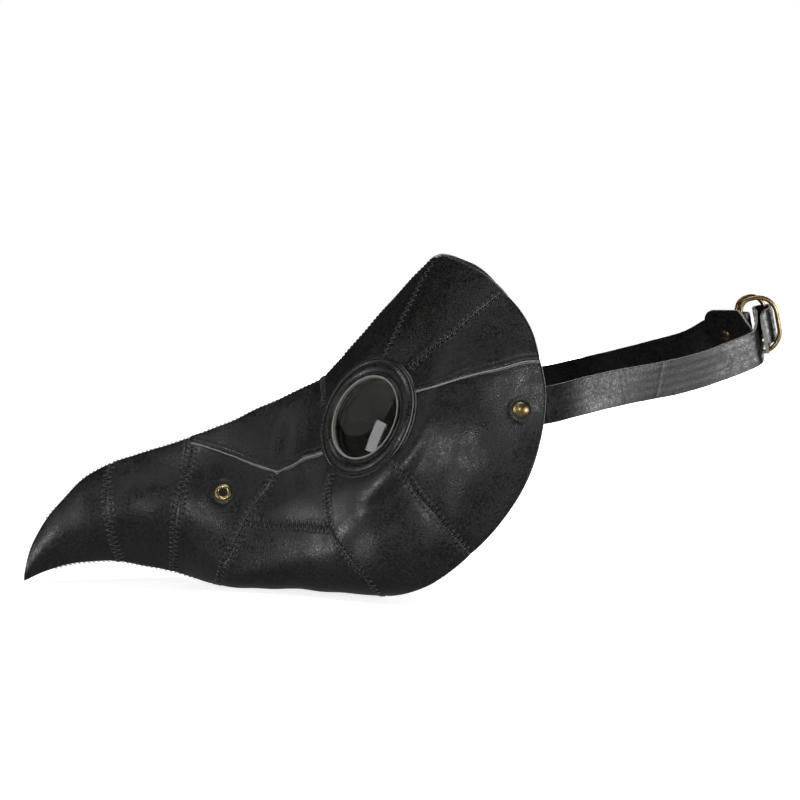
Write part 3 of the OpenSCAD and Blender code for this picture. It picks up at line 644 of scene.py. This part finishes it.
# ---------------------------------------------------------------- seams and stitches
def seam_track(points, step=0.25):
    """Even samples along a seam: parameters (x, g), points, normals, tangents and lengths."""
    n = 60 * (len(points) - 1)
    p = smooth(points, n)
    s3 = skin(p[:, 0], p[:, 1])
    run = lengths(s3)
    want = np.arange(0, run[-1], step)
    x, g = np.interp(want, run, p[:, 0]), np.interp(want, run, p[:, 1])
    pos, nor, _, _ = skin_frame(x, g)
    return x, g, pos, nor, unit(np.gradient(pos, axis=0)), want


def beside(track, where, off):
    """Surface points at arc lengths `where` along a track, `off` mm to its side."""
    x, g, _, nor, tan, run = track
    side = unit(np.cross(resample(where, run, nor), resample(where, run, tan)))
    xs, gs = shift(np.interp(where, run, x), np.interp(where, run, g),
                   side * np.asarray(off)[..., None])
    p, n, _, _ = skin_frame(xs, gs)
    return p, n


def stitch_paths(a, na, b, nb, k=6, high=0.30, low=-0.45):
    """Threads from holes a to holes b, resting on the leather and dipping into the holes."""
    a, b = a + na * relief(a)[:, None], b + nb * relief(b)[:, None]
    t = np.linspace(0, 1, k)[None, :, None]
    lift = low + (high - low) * np.clip(np.sin(math.pi * t) * 2.4, 0, 1)
    up = unit(na[:, None] * (1 - t) + nb[:, None] * t)
    return a[:, None] * (1 - t) + b[:, None] * t + up * lift, np.broadcast_to(up, (len(a), k, 3))


# Needle holes, filled in as the stitches are laid out; the thread radii, in mm
HOLES = []
THREAD_R, EYE_THREAD_R = 0.2, 0.27


def zigzag(points, width, pitch, start=0.0, end=0.0, centre=0.0, high=0.30):
    """Zigzag stitching across a seam."""
    track = seam_track(points)
    total = track[5][-1]
    s = np.arange(start, total - end, pitch)
    wob = rng.normal(0, 0.12, (2, len(s)))
    a, na = beside(track, s, np.full(len(s), centre + width / 2) + wob[0])
    b, nb = beside(track, np.minimum(s + pitch / 2, total),
                   np.full(len(s), centre - width / 2) + wob[1])
    HOLES.extend(a.tolist() + b.tolist())
    p1, u1 = stitch_paths(a, na, b, nb, high=high)
    p2, u2 = stitch_paths(b[:-1], nb[:-1], a[1:], na[1:], high=high)
    return np.concatenate([p1, p2]), np.concatenate([u1, u2])


def running(points, off, pitch, length, start=0.0, end=0.0, high=0.22):
    """A row of running stitches beside a line."""
    track = seam_track(points)
    s = np.arange(start, track[5][-1] - end, pitch)
    o = np.full(len(s), off) + rng.normal(0, 0.05, len(s))
    a, na = beside(track, s, o)
    b, nb = beside(track, s + length, o)
    HOLES.extend(a.tolist() + b.tolist())
    return stitch_paths(a, na, b, nb, high=high)


def overlock(points, near, far, slant, pitch, start=0.0, end=0.0):
    """Short slanted stitches beside the line where the halves are sewn together."""
    track = seam_track(points)
    s = np.arange(start, track[5][-1] - end - slant, pitch)
    a, na = beside(track, s, np.full(len(s), near))
    b, nb = beside(track, s + slant, np.full(len(s), far) + rng.normal(0, 0.15, len(s)))
    HOLES.extend(b.tolist())
    return stitch_paths(a, na, b, nb, high=0.08)


def build_stitches(thread):
    """All the thread of both halves, one piece for each seam."""
    seams = {
        "tip": lambda: zigzag(SEAM_TIP, 6.6, 3.3, 1.5, 1),
        "middle": lambda: zigzag([ridge(-122)] + SEAM_MIDDLE, 6.4, 3.3, 1.5, 1),
        "root": lambda: zigzag(SEAM_ROOT_UPPER + SEAM_ROOT_LOWER[1:], 6.2, 3.2, 2.0, 1),
        "level": lambda: zigzag(SEAM_LEVEL, 6.2, 2.7, 2.5, 1, high=0.45),
        "under_eye": lambda: zigzag(SEAM_UNDER_EYE, 5.6, 2.6, 2.5, 1.5, high=0.4),
        "chin": lambda: zigzag(SEAM_CHIN, 5.4, 2.9, 0.5, 3, high=0.4),
        "jaw": lambda: zigzag(SEAM_JAW, 5.6, 3.1, 2.5, 1.5),
        "temple": lambda: zigzag(SEAM_TEMPLE, 5.6, 3.4, 2.5, 1.5),
        "brow": lambda: zigzag(SEAM_BROW, 5.6, 3.4, 2.5, 1.5),
        "nose": lambda: zigzag(NOSE_ROW, 4.6, 2.1, 0.8, 0, high=0.4),
        "lap_front_a": lambda: running(LAP_FRONT_A, 2.9, 2.5, 1.9, 3, 0.5),
        "lap_front_b": lambda: running(LAP_FRONT_B, 2.9, 2.5, 1.9, 1, 2.5),
        "lap_rear": lambda: running(LAP_REAR, 2.9, 2.5, 1.9, 2.5, 3),
        "ridge": lambda: overlock([ridge(x) for x in (-205, -190, -166.6, -145, -122, -98, -76,
                                                      -58, -47)], 1.0, 4.3, 1.4, 2.5, 2, 1),
        "brow_edge": lambda: running([ridge(-44), ridge(-30), ridge(-15), ridge(0), ridge(16)],
                                     2.4, 2.5, 1.9, 1, 1),
        "underside": lambda: overlock([keel(x) for x in (-200, -190, -176, -161, -147, -132,
                                                         -118)], -1.0, -3.6, 1.2, 2.8),
    }
    for name, make in seams.items():
        sew(f"stitches_{name}", *make(), THREAD_R, thread, "mask_leather")


def sew(name, paths, lifts, radius, thread, slot):
    """Makes a seam's threads on both halves."""
    for side, other in SIDES:
        verts, faces = tubes(mirrored(paths, other), mirrored(lifts, other), radius)
        ride_mask(new_object(f"{side}_{name}", verts, faces, [thread]), slot)


def ride_mask(obj, slot, *nodes):
    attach(obj, "mask")
    if nodes:
        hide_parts(*nodes)


def both_halves(name, verts, faces, mats, slot, nodes, index=None, sharp_deg=None):
    """Makes a piece of the left half and its mirror image on the right half."""
    for side, other in SIDES:
        obj = new_object(f"{side}_{name}", mirrored(verts, other),
                         faces[:, ::-1] if other else faces, mats, index, sharp_deg)
        ride_mask(obj, slot, *[f"{side}_{n}" for n in nodes])


# ---------------------------------------------------------------- leather patches
# How far each kind of edge keeps back from its seam line, in mm
SETBACK = {"mid": 0.0, "sew": 0.04, "over": 0.0, "under": 0.0, "eye": 0.0, "free": 0.0}
EDGE_BAND, FINE, COARSE = 4.6, 0.42, 0.85
HOLE_R, HOLE_REACH, HOLE_DEPTH = 0.55, 1.6, 0.42
# Leather pressed round the eyelet and the rivet: x, z and cap radius
SEATS = ((VENT_X, VENT_Z, 4.7), (RIVET_X, RIVET_Z, 4.2))
# Steps down each kind of cut edge: outwards, down (mm) and material index
WALLS = {"mid": ((0, 0.5, 0),), "sew": ((0, 0.25, 0), (0.22, 0.6, 0)), "under": ((0, 0.5, 0),),
         "eye": ((0, 0.5, 0),), "free": ((0.12, 0.12, 1), (0.22, 0.7, 1), (0.2, 1.3, 1)),
         "over": ((0.30, 0.08, 1), (0.75, 0.30, 1), (1.00, 0.62, 0), (1.25, 0.66, 1),
                  (1.95, 1.05, 1), (2.05, 1.4, 0))}


def edge_rise(kind, d):
    """Height of the leather near an edge, at distance d from it."""
    if kind in ("mid", "sew"):
        return -0.40 * np.exp(-(d / 0.6)**2) + 0.10 * np.exp(-((d - 3.4) / 2.0)**2)
    if kind == "over":
        return 1.05 * np.exp(-(d / 9.0)**2) - 0.3 * np.exp(-(d / 0.4)**2)
    if kind == "under":
        return -0.25 * np.exp(-(d / 3.0)**2)
    if kind == "free":
        return -0.25 * np.exp(-(d / 0.45)**2)
    return np.zeros_like(d)


def spread(width):
    """Grid parameters across a patch, closer together near its edges."""
    if width < 2 * EDGE_BAND + 2:
        return np.linspace(0, 1, max(3, int(width / FINE)))
    side = np.arange(0, EDGE_BAND, FINE)
    inner = np.linspace(EDGE_BAND, width - EDGE_BAND, max(3, int((width - 2 * EDGE_BAND) / COARSE)))
    return np.concatenate([side, inner, (width - side)[::-1]]) / width


def blended(edges, u, v):
    top, bottom, left, right = (np.asarray(e, float) for e in edges)
    n, m = len(top) - 1, len(left) - 1
    a, b = u[:, None, None], v[None, :, None]
    return ((1 - b) * smooth_at(top, u * n)[:, None] + b * smooth_at(bottom, u * n)[:, None]
            + (1 - a) * smooth_at(left, v * m)[None] + a * smooth_at(right, v * m)[None]
            - (1 - a) * (1 - b) * top[0] - a * (1 - b) * top[n]
            - (1 - a) * b * bottom[0] - a * b * bottom[n])


def patch_widths(edges):
    """Mean size of a patch along u and v, in mm."""
    s = blended(edges, np.linspace(0, 1, 9), np.linspace(0, 1, 9))
    p = skin(s[..., 0], s[..., 1])
    return (np.linalg.norm(np.diff(p, axis=0), axis=-1).sum(0).mean(),
            np.linalg.norm(np.diff(p, axis=1), axis=-1).sum(1).mean())


def patch_surface(edges, kinds, holes):
    """The outer surface of a patch as a grid: points, outward normals and thickness."""
    wu, wv = patch_widths(edges)
    u, v = spread(wu), spread(wv)
    top, bottom, left, right = kinds
    gap = [SETBACK[k] / w for k, w in ((left, wu), (right, wu), (top, wv), (bottom, wv))]
    xg = blended(edges, gap[0] + (1 - gap[0] - gap[1]) * u, gap[2] + (1 - gap[2] - gap[3]) * v)
    p, n, _, _ = skin_frame(xg[..., 0], xg[..., 1])
    run_u = np.concatenate([np.zeros((1, len(v))),
                            np.cumsum(np.linalg.norm(np.diff(p, axis=0), axis=-1), axis=0)])
    run_v = np.concatenate([np.zeros((len(u), 1)),
                            np.cumsum(np.linalg.norm(np.diff(p, axis=1), axis=-1), axis=1)], axis=1)
    rise = edge_rise(left, run_u) + edge_rise(right, run_u[-1] - run_u)
    rise += edge_rise(top, run_v) + edge_rise(bottom, run_v[:, -1:] - run_v)
    rise += relief(p)
    rise = rise.ravel()
    flat = p.reshape(-1, 3)
    for i, q in enumerate(flat):
        _, _, r = holes.find(q)
        if r < HOLE_REACH:
            rise[i] -= HOLE_DEPTH * math.exp(-(r / HOLE_R)**2)
    for x, z, cap in SEATS:
        r = np.linalg.norm(flat - skin(x, girth(x, z)), axis=1)
        rise += 0.40 * np.exp(-(r / cap)**8) - 0.38 * np.exp(-((r - cap - 1.6) / 1.5)**2)
    thick = LEATHER_T * np.clip((p[..., 0] + 220) / 14, 0.15, 1)
    out = p + n * rise.reshape(p.shape[:2])[..., None]
    out[..., 1] = np.minimum(out[..., 1], -0.04)
    return out, n, thick


def facing(verts, faces, way):
    """Turns the faces so that they look along the given directions of their first corners."""
    f = np.asarray(faces)
    normal = np.cross(verts[f[:, 1]] - verts[f[:, 0]], verts[f[:, 2]] - verts[f[:, 0]])
    return f if (normal * way[f[:, 0]]).sum() > 0 else f[:, ::-1]


def patch_mesh(edges, kinds, holes):
    """Vertices, faces and material index (0 leather, 1 raw edge, 2 lining) of one patch."""
    out, n, thick = patch_surface(edges, kinds, holes)
    rows, cols = out.shape[:2]
    inner = out - n * (thick + 0.25)[..., None]
    inner[..., 1] = np.minimum(inner[..., 1], -0.04)
    verts, faces, index = [out.reshape(-1, 3)], [], []
    grid = facing(verts[0], grid_faces(rows, cols), n.reshape(-1, 3))
    faces.append(grid)
    index.append(np.zeros(len(grid)))
    count = rows * cols
    strips = ((np.s_[0, :], np.s_[2, :], kinds[2]), (np.s_[-1, :], np.s_[-3, :], kinds[3]),
              (np.s_[:, 0], np.s_[:, 2], kinds[0]), (np.s_[:, -1], np.s_[:, -3], kinds[1]))
    centre = out.mean((0, 1))
    for cut, before, kind in strips:
        a, b, up = out[cut], inner[cut], n[cut]
        ahead = unit(a - out[before])
        rows_down = [a] + [a + e * ahead - d * up for e, d, _ in WALLS[kind]] + [b]
        both = np.stack(rows_down).reshape(-1, 3)
        wall = facing(both, grid_faces(len(rows_down), len(a)), both - centre) + count
        verts.append(both)
        faces.append(wall)
        index.append(np.repeat([w[2] for w in WALLS[kind]] + [0], len(a) - 1))
        count += len(both)
    ru = np.unique(np.linspace(0, rows - 1, max(3, rows // 3)).astype(int))
    rv = np.unique(np.linspace(0, cols - 1, max(3, cols // 3)).astype(int))
    back = inner[np.ix_(ru, rv)].reshape(-1, 3)
    sheet = facing(back, grid_faces(len(ru), len(rv)), -n[np.ix_(ru, rv)].reshape(-1, 3))
    verts.append(back)
    faces.append(sheet + count)
    index.append(np.full(len(sheet), 2))
    return np.concatenate(verts), np.concatenate(faces), np.concatenate(index)


def build_patches(mats):
    holes = KDTree(len(HOLES))
    for i, h in enumerate(HOLES):
        holes.insert(h, i)
    holes.balance()
    for name, (top, bottom, left, right, kinds) in PATCHES.items():
        verts, faces, index = patch_mesh((top, bottom, left, right), kinds, holes)
        both_halves(f"leather_{name}", verts, faces, mats, "mask_leather", [name], index)


# ---------------------------------------------------------------- eyes
EYE_FRAME = np.stack([EYE_SIDE, EYE_UP, EYE_AXIS])


def arc_points(centre, radii, a, b, n):
    t = np.radians(np.linspace(a, b, n))
    return [(centre[0] + radii[0] * math.cos(s), centre[1] + radii[1] * math.sin(s)) for s in t]


RING_PROFILE = ([(24.6, 0.3), (34.6, -0.2), (35.0, 0.0), (35.05, 0.8)]
                + arc_points((34.75, 1.35), (0.32, 0.4), 0, 90, 5)
                + [(34.3, 1.8), (33.7, 1.9), (24.6, 1.9)])
RING_EDGE = (1, 2, 3)
BAND_PROFILE = ([(24.4, 1.7), (33.95, 1.7), (34.15, 1.9), (34.2, 2.4)]
                + arc_points((33.9, 2.62), (0.3, 0.4), 0, 90, 5)
                + [(33.4, 3.0), (33.0, 2.8), (32.55, 2.3), (32.1, 2.65), (31.6, 3.1)]
                + arc_points((29.3, 2.9), (2.3, 0.95), 20, 160, 13)
                + [(26.7, 3.0), (26.35, 2.65), (25.9, 2.2), (25.5, 2.6), (25.1, 2.9), (24.4, 2.9)])
BAND_EDGE = (1, 2, 3)
RIM_PROFILE = ([(23.9, 1.3), (25.2, 2.6), (25.25, 3.1)]
               + arc_points((24.9, 3.35), (0.35, 0.45), 0, 90, 5)
               + [(24.4, 3.85)] + arc_points((23.75, 3.5), (0.35, 0.38), 90, 180, 5)
               + [(23.35, 2.9), (23.3, 2.0), (23.4, 1.2)])
RIM_EDGE = tuple(range(8, 15))
LENS_R, LENS_RISE = 23.5, 2.15


def eye_piece(profile, edge_rows, name, nodes, mats, uneven=0.0, segments=240):
    base, faces = lathe(profile, segments)
    ang = np.arctan2(base[:, 1], base[:, 0])
    waves = sum(np.sin(k * ang + p) / k for k, p in zip((2, 3, 5, 9, 14, 23), PHASES))
    base = base * np.stack([1 + uneven * 0.004 * waves] * 2 + [1 + 0 * waves], axis=1)
    base[:, 2] += uneven * 0.07 * np.roll(waves, segments // 3)
    index = np.repeat([1 if r in edge_rows else 0 for r in range(len(profile))], segments)
    verts = EYE_CENTRE + base @ EYE_FRAME
    both_halves(name, verts, faces[:, ::-1], mats, "eye_leather", nodes, index, 38)


def ring_stitches(radius, pitch, length, height, thread, name):
    """A ring of short stitches lying in a groove."""
    count = int(2 * math.pi * radius / pitch)
    a = (np.arange(count) + rng.normal(0, 0.03, count))[:, None] * 2 * math.pi / count
    t = np.linspace(-0.5, 0.5, 6)[None]
    ang = a + t * length / radius
    lift = height - 0.5 + 0.72 * np.clip(np.cos(math.pi * t) * 2.2, 0, 1) + 0 * a
    wob = rng.normal(0, 0.06, (count, 1))
    local = np.stack([(radius + wob) * np.cos(ang), (radius + wob) * np.sin(ang), lift], axis=-1)
    paths = EYE_CENTRE + local @ EYE_FRAME
    lifts = np.broadcast_to(EYE_AXIS, paths.shape)
    sew(name, paths, lifts, EYE_THREAD_R, thread, "eye_leather")


def build_eyes(mats):
    dark, edge = mats["eye"], mats["edge"]
    eye_piece(RING_PROFILE, RING_EDGE, "eye_leather_ring", ["eye_ring"], [dark, edge], 0.9)
    eye_piece(BAND_PROFILE, BAND_EDGE, "eye_leather_band", ["eye_band"], [dark, edge], 0.6)
    eye_piece(RIM_PROFILE, RIM_EDGE, "eye_leather_rim", ["eye_rim"], [dark, mats["edge_light"]],
              0.6)
    ring_stitches(32.55, 2.45, 1.75, 2.5, mats["thread"], "eye_stitches_outer")
    ring_stitches(25.9, 2.2, 1.5, 2.4, mats["thread"], "eye_stitches_inner")
    dome = lambda r: LENS_RISE * (1 - (r / LENS_R)**2)
    glass = [(24.3, -1.2), (24.3, 0.35)]
    glass += [(r, 0.45 + dome(r)) for r in np.linspace(LENS_R, 0.02, 40)]
    glass += [(r, dome(r) - 1.2) for r in np.linspace(0.02, LENS_R, 24)]
    base, faces = lathe(glass, 160)
    verts = EYE_CENTRE + base @ EYE_FRAME
    pad = arc_points((30.0, -1.2), (3.3, 1.35), 0, 345, 24)
    pad_base, pad_faces = lathe(pad, 160)
    pad_verts = EYE_CENTRE + pad_base @ EYE_FRAME
    for side, other in SIDES:
        obj = new_object(f"{side}_eye_glass", mirrored(verts, other),
                         faces if other else faces[:, ::-1], [mats["lens"]], None, 45)
        ride_mask(obj, "lens", f"{side}_lens")
        obj = new_object(f"{side}_eye_pad", mirrored(pad_verts, other),
                         pad_faces if other else pad_faces[:, ::-1], [mats["lining"]])
        ride_mask(obj, "backing", f"{side}_eye_backing")


# ---------------------------------------------------------------- straps, tab and fittings
def turned(p):
    a, b, c = (math.radians(t) for t in RING_TURN)
    rx = np.array([[1, 0, 0], [0, math.cos(a), -math.sin(a)], [0, math.sin(a), math.cos(a)]])
    ry = np.array([[math.cos(b), 0, math.sin(b)], [0, 1, 0], [-math.sin(b), 0, math.cos(b)]])
    rz = np.array([[math.cos(c), -math.sin(c), 0], [math.sin(c), math.cos(c), 0], [0, 0, 1]])
    return np.asarray(p, float) @ (rz @ ry @ rx).T


def by_ring(*p):
    return (RING_AT + turned(p), turned((0, 0, 1)))


STRAP_Y, STRAP_W, STRAP_T = -78.4035, 20.0, 1.8
STRAP_STEP, CREASE_WIDTH = 0.6, 1.1
WRAP = (-0.2, -0.16, 0.96)
LEFT_ROUTE = [((RIVET_X - 9, STRAP_Y, RIVET_Z - 1), (-0.1, 0, 1)),
              ((RIVET_X, STRAP_Y, RIVET_Z), (-0.1, 0, 1)), ((80, STRAP_Y, 110), (-0.16, 0, 1)),
              ((95, -75.6, 113.5), (-0.2, -0.05, 1)), ((110, -69, 116.6), (-0.18, -0.1, 1)),
              ((125, -59.5, 118.8), (-0.16, -0.15, 1)), ((140, -49, 120.5), (-0.16, -0.2, 1)),
              ((155, -38.5, 122.6), (-0.18, -0.2, 1)), ((170, -28.5, 125.8), (-0.2, -0.2, 1)),
              ((184, -20.5, 130), WRAP), ((195, -16, 133.8), WRAP), ((200.4, -13, 136.6), WRAP),
              ((202.4, -8, 140.6), WRAP), ((203.2, -2, 144.4), WRAP), ((203.6, 4, 147), WRAP),
              by_ring(-0.7, 14.8, -1.9), by_ring(-0.4, 19.4, -2.2), by_ring(3.8, 22.6, -2.6),
              by_ring(7.7, 19.6, -2.7), by_ring(9.3, 15.3, -2.6), ((208, 1, 147), WRAP),
              ((206, -5, 144.4), WRAP), ((205.4, -11.5, 141.4), WRAP)]
RIGHT_ROUTE = [((RIVET_X - 9, -STRAP_Y, RIVET_Z), (-0.05, 0, 1)),
               ((RIVET_X, -STRAP_Y, RIVET_Z), (-0.05, 0, 1)),
               ((80, -STRAP_Y, 108.4), (-0.12, 0, 1)), ((95, 75.6, 111.3), (-0.2, 0.05, 1)),
               ((110, 69, 115.3), (-0.26, 0.05, 1)), ((125, 59, 119.8), (-0.28, 0, 1)),
               ((140, 48.5, 124.5), (-0.28, 0, 1)), ((155, 37, 129.4), (-0.25, 0, 1)),
               ((168, 26.5, 134.5), (-0.2, -0.1, 1)),
               by_ring(-17, 4.2, -2.2), by_ring(-9, 2.9, -1), by_ring(-3, 2.7, -1),
               by_ring(3, 2.7, -1), by_ring(4.9, 1.9, -1), by_ring(5.6, 0, -1),
               by_ring(4.9, -1.9, -1), by_ring(3, -2.7, -1), by_ring(-3, -2.7, -1),
               by_ring(-9, -2.7, -1), by_ring(-15, -2.7, -1)]


def strap_section():
    """(across, out) points round a strap's section and which runs are cut edges."""
    w, t = STRAP_W / 2, STRAP_T / 2
    flat = [(a, t - 0.05 * math.cos(a * 1.4)) for a in np.linspace(-w + 0.35, w - 0.35, 25)]
    side = [(w - 0.1, t - 0.1), (w, t - 0.3), (w - 0.02, 0.12), (w - 0.22, 0.0), (w - 0.02, -0.12),
            (w, -t + 0.3), (w - 0.1, -t + 0.1)]
    pts = flat + side + [(-a, -b) for a, b in flat] + [(-a, -b) for a, b in side]
    half = len(flat) + len(side)
    edge = [len(flat) <= i % half < half - 1 for i in range(len(pts))]
    return np.array(pts), edge


def face_out(obj):
    """Turns a closed mesh's faces outwards."""
    bm = bmesh.new()
    bm.from_mesh(obj.data)
    bmesh.ops.recalc_face_normals(bm, faces=bm.faces)
    bm.to_mesh(obj.data)
    bm.free()


def closed_band(name, verts, mats, index, body, node, flip=False):
    """A closed leather piece from rows of points, with a flat face at each end."""
    rows, cols = verts.shape[:2]
    faces = grid_faces(rows, cols, flip=flip, wrap_cols=True).tolist()
    faces += [list(range(cols)), [(rows - 1) * cols + j for j in reversed(range(cols))]]
    obj = new_object(name, verts.reshape(-1, 3), faces, mats, index, 40)
    face_out(obj)
    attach(obj, body)
    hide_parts(node)


def build_strap(name, route, body, mats, node, creases):
    """A band swept along its route; creases are (place along it, lean, depth)."""
    places = np.array([r[0] for r in route], float)
    rises = unit([r[1] for r in route])
    t = np.arange(0, (len(route) - 1) * 20 + 1) / 20
    mid, rise = smooth_at(places, t), smooth_at(rises, t)
    run = lengths(mid)
    even = np.arange(0, run[-1], STRAP_STEP)
    mid, rise = resample(even, run, mid), resample(even, run, rise)
    ahead = unit(np.gradient(mid, axis=0))
    up = unit(rise - (rise * ahead).sum(1)[:, None] * ahead)
    out = np.cross(ahead, up)
    section, edge = strap_section()
    wave = (np.sin(even * 0.31) + np.sin(even * 0.83 + 1) * 0.6 + np.sin(even * 0.13) * 1.2)
    wide = section[:, 0][None] * (1 + 0.004 * wave[:, None])
    crease = np.zeros((len(even), len(section)))
    for place, lean, deep in creases:
        off = even[:, None] - place - lean * section[:, 0][None]
        crease += deep * np.exp(-(off / CREASE_WIDTH)**2)
    high = section[:, 1][None] * (1 - crease)
    verts = (mid[:, None] + up[:, None] * wide[..., None] + out[:, None] * high[..., None])
    index = [int(e) for e in edge] * (len(verts) - 1)
    closed_band(name, verts, mats, index + [1, 1], body, node, flip=True)


TAB_TOP, TAB_FOOT, TAB_BACK, TAB_BEND = 12.3, -11.0, -21.5, 7.0


def tab_line(count=220):
    """The tab's outline in the rings' frame, evenly spaced."""
    bend = (TAB_BEND, TAB_BEND)
    corner = arc_points((TAB_BACK + TAB_BEND, TAB_TOP - TAB_BEND), bend, 90, 180, 16)
    corner += arc_points((TAB_BACK + TAB_BEND, TAB_FOOT + TAB_BEND), bend, 180, 270, 16)
    p = np.array(corner + [(0, TAB_FOOT), (11.6, TAB_FOOT), (11.6, -0.5), (3.7, TAB_TOP),
                           corner[0]])
    run = lengths(p)
    want = np.linspace(0, run[-1], count, endpoint=False)
    q = resample(want, run, p)
    for _ in range(3):
        q = (np.roll(q, 1, 0) + 2 * q + np.roll(q, -1, 0)) / 4
    return q


def build_tab(mats):
    line = tab_line()
    mid = line.mean(0)
    levels = [(s, -5.6 - 0.12 * (1 - s)) for s in (0.02, 0.3, 0.55, 0.75, 0.88, 0.95)]
    levels += [(0.978, -5.57), (0.992, -5.48), (1.0, -5.3), (1.0, -4.85), (0.985, -4.7),
               (1.0, -4.55), (1.0, -4.05), (0.99, -3.85), (0.97, -3.8), (0.6, -3.8), (0.02, -3.8)]
    verts = np.stack([np.column_stack([mid[0] + (line[:, 0] - mid[0]) * s, np.full(len(line), y),
                                       mid[1] + (line[:, 1] - mid[1]) * s]) for s, y in levels])
    index = [int(7 <= i <= 12) for i in range(len(levels) - 1) for _ in line]
    placed = (RING_AT + turned(verts.reshape(-1, 3))).reshape(verts.shape)
    closed_band("tab_leather", placed, mats, index + [0, 0], "right_strap", "strap_tab")


def finish_metal(mats):
    """Materials of the CAD nodes that stay visible."""
    tones = {"eyelet": "brass_bright", "eyelet_washer": "brass_aged", "rivet": "brass_aged",
             "rivet_base": "brass_aged"}
    for side in ("left", "right"):
        for node, tone in tones.items():
            dress(f"{side}_{node}", mats[tone])
    dress("tab_rivet", mats["brass_dark"])
    dress("ring_front", mats["brass_aged"])
    dress("ring_rear", mats["brass_aged"])


def dress(node, mat):
    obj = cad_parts[node]
    obj.data.materials.clear()
    obj.data.materials.append(mat)


def build():
    tones = {"leather": leather("leather", (0.0080, 0.0080, 0.0075), 0.385),
             "eye": leather("eye_leather", (0.0095, 0.0095, 0.0090), 0.34),
             "strap": leather("strap_leather", (0.008, 0.008, 0.0078), 0.37, 0.9),
             # Painted light: both cut-edge tones sit above the edge's own paleness, so the thin
             # edges look lit where they face away from the lamps.
             "edge": raw_edge_with_painted_light("cut_edge", (0.44, 0.43, 0.40)),
             "edge_light": raw_edge_with_painted_light("cut_edge_light", (0.42, 0.40, 0.36)),
             "thread": thread_material(), "lining": lining_material(), "lens": lens_material(),
             "brass_bright": brass_material("brass_bright", (0.62, 0.47, 0.22), (0.30, 0.21, 0.09),
                                            0.28, 0.35),
             "brass_aged": brass_material("brass_aged", (0.46, 0.34, 0.16), (0.16, 0.11, 0.05),
                                          0.34, 0.4),
             "brass_dark": brass_material("brass_dark", (0.22, 0.15, 0.07), (0.07, 0.05, 0.025),
                                          0.38, 0.4)}
    build_stitches(tones["thread"])
    build_patches([tones["leather"], tones["edge"], tones["lining"]])
    build_eyes(tones)
    build_strap("left_strap_leather", LEFT_ROUTE, "left_strap", [tones["strap"], tones["edge"]],
                "left_strap", [(62, 0.2, 0.10), (70, -0.15, 0.08), (96, 0.3, 0.12)])
    build_strap("right_strap_leather", RIGHT_ROUTE, "right_strap", [tones["strap"], tones["edge"]],
                "right_strap", [(58, 0.2, 0.10), (84, -0.2, 0.09)])
    build_tab([tones["strap"], tones["edge_light"]])
    finish_metal(tones)


make_camera()
make_studio()
build()
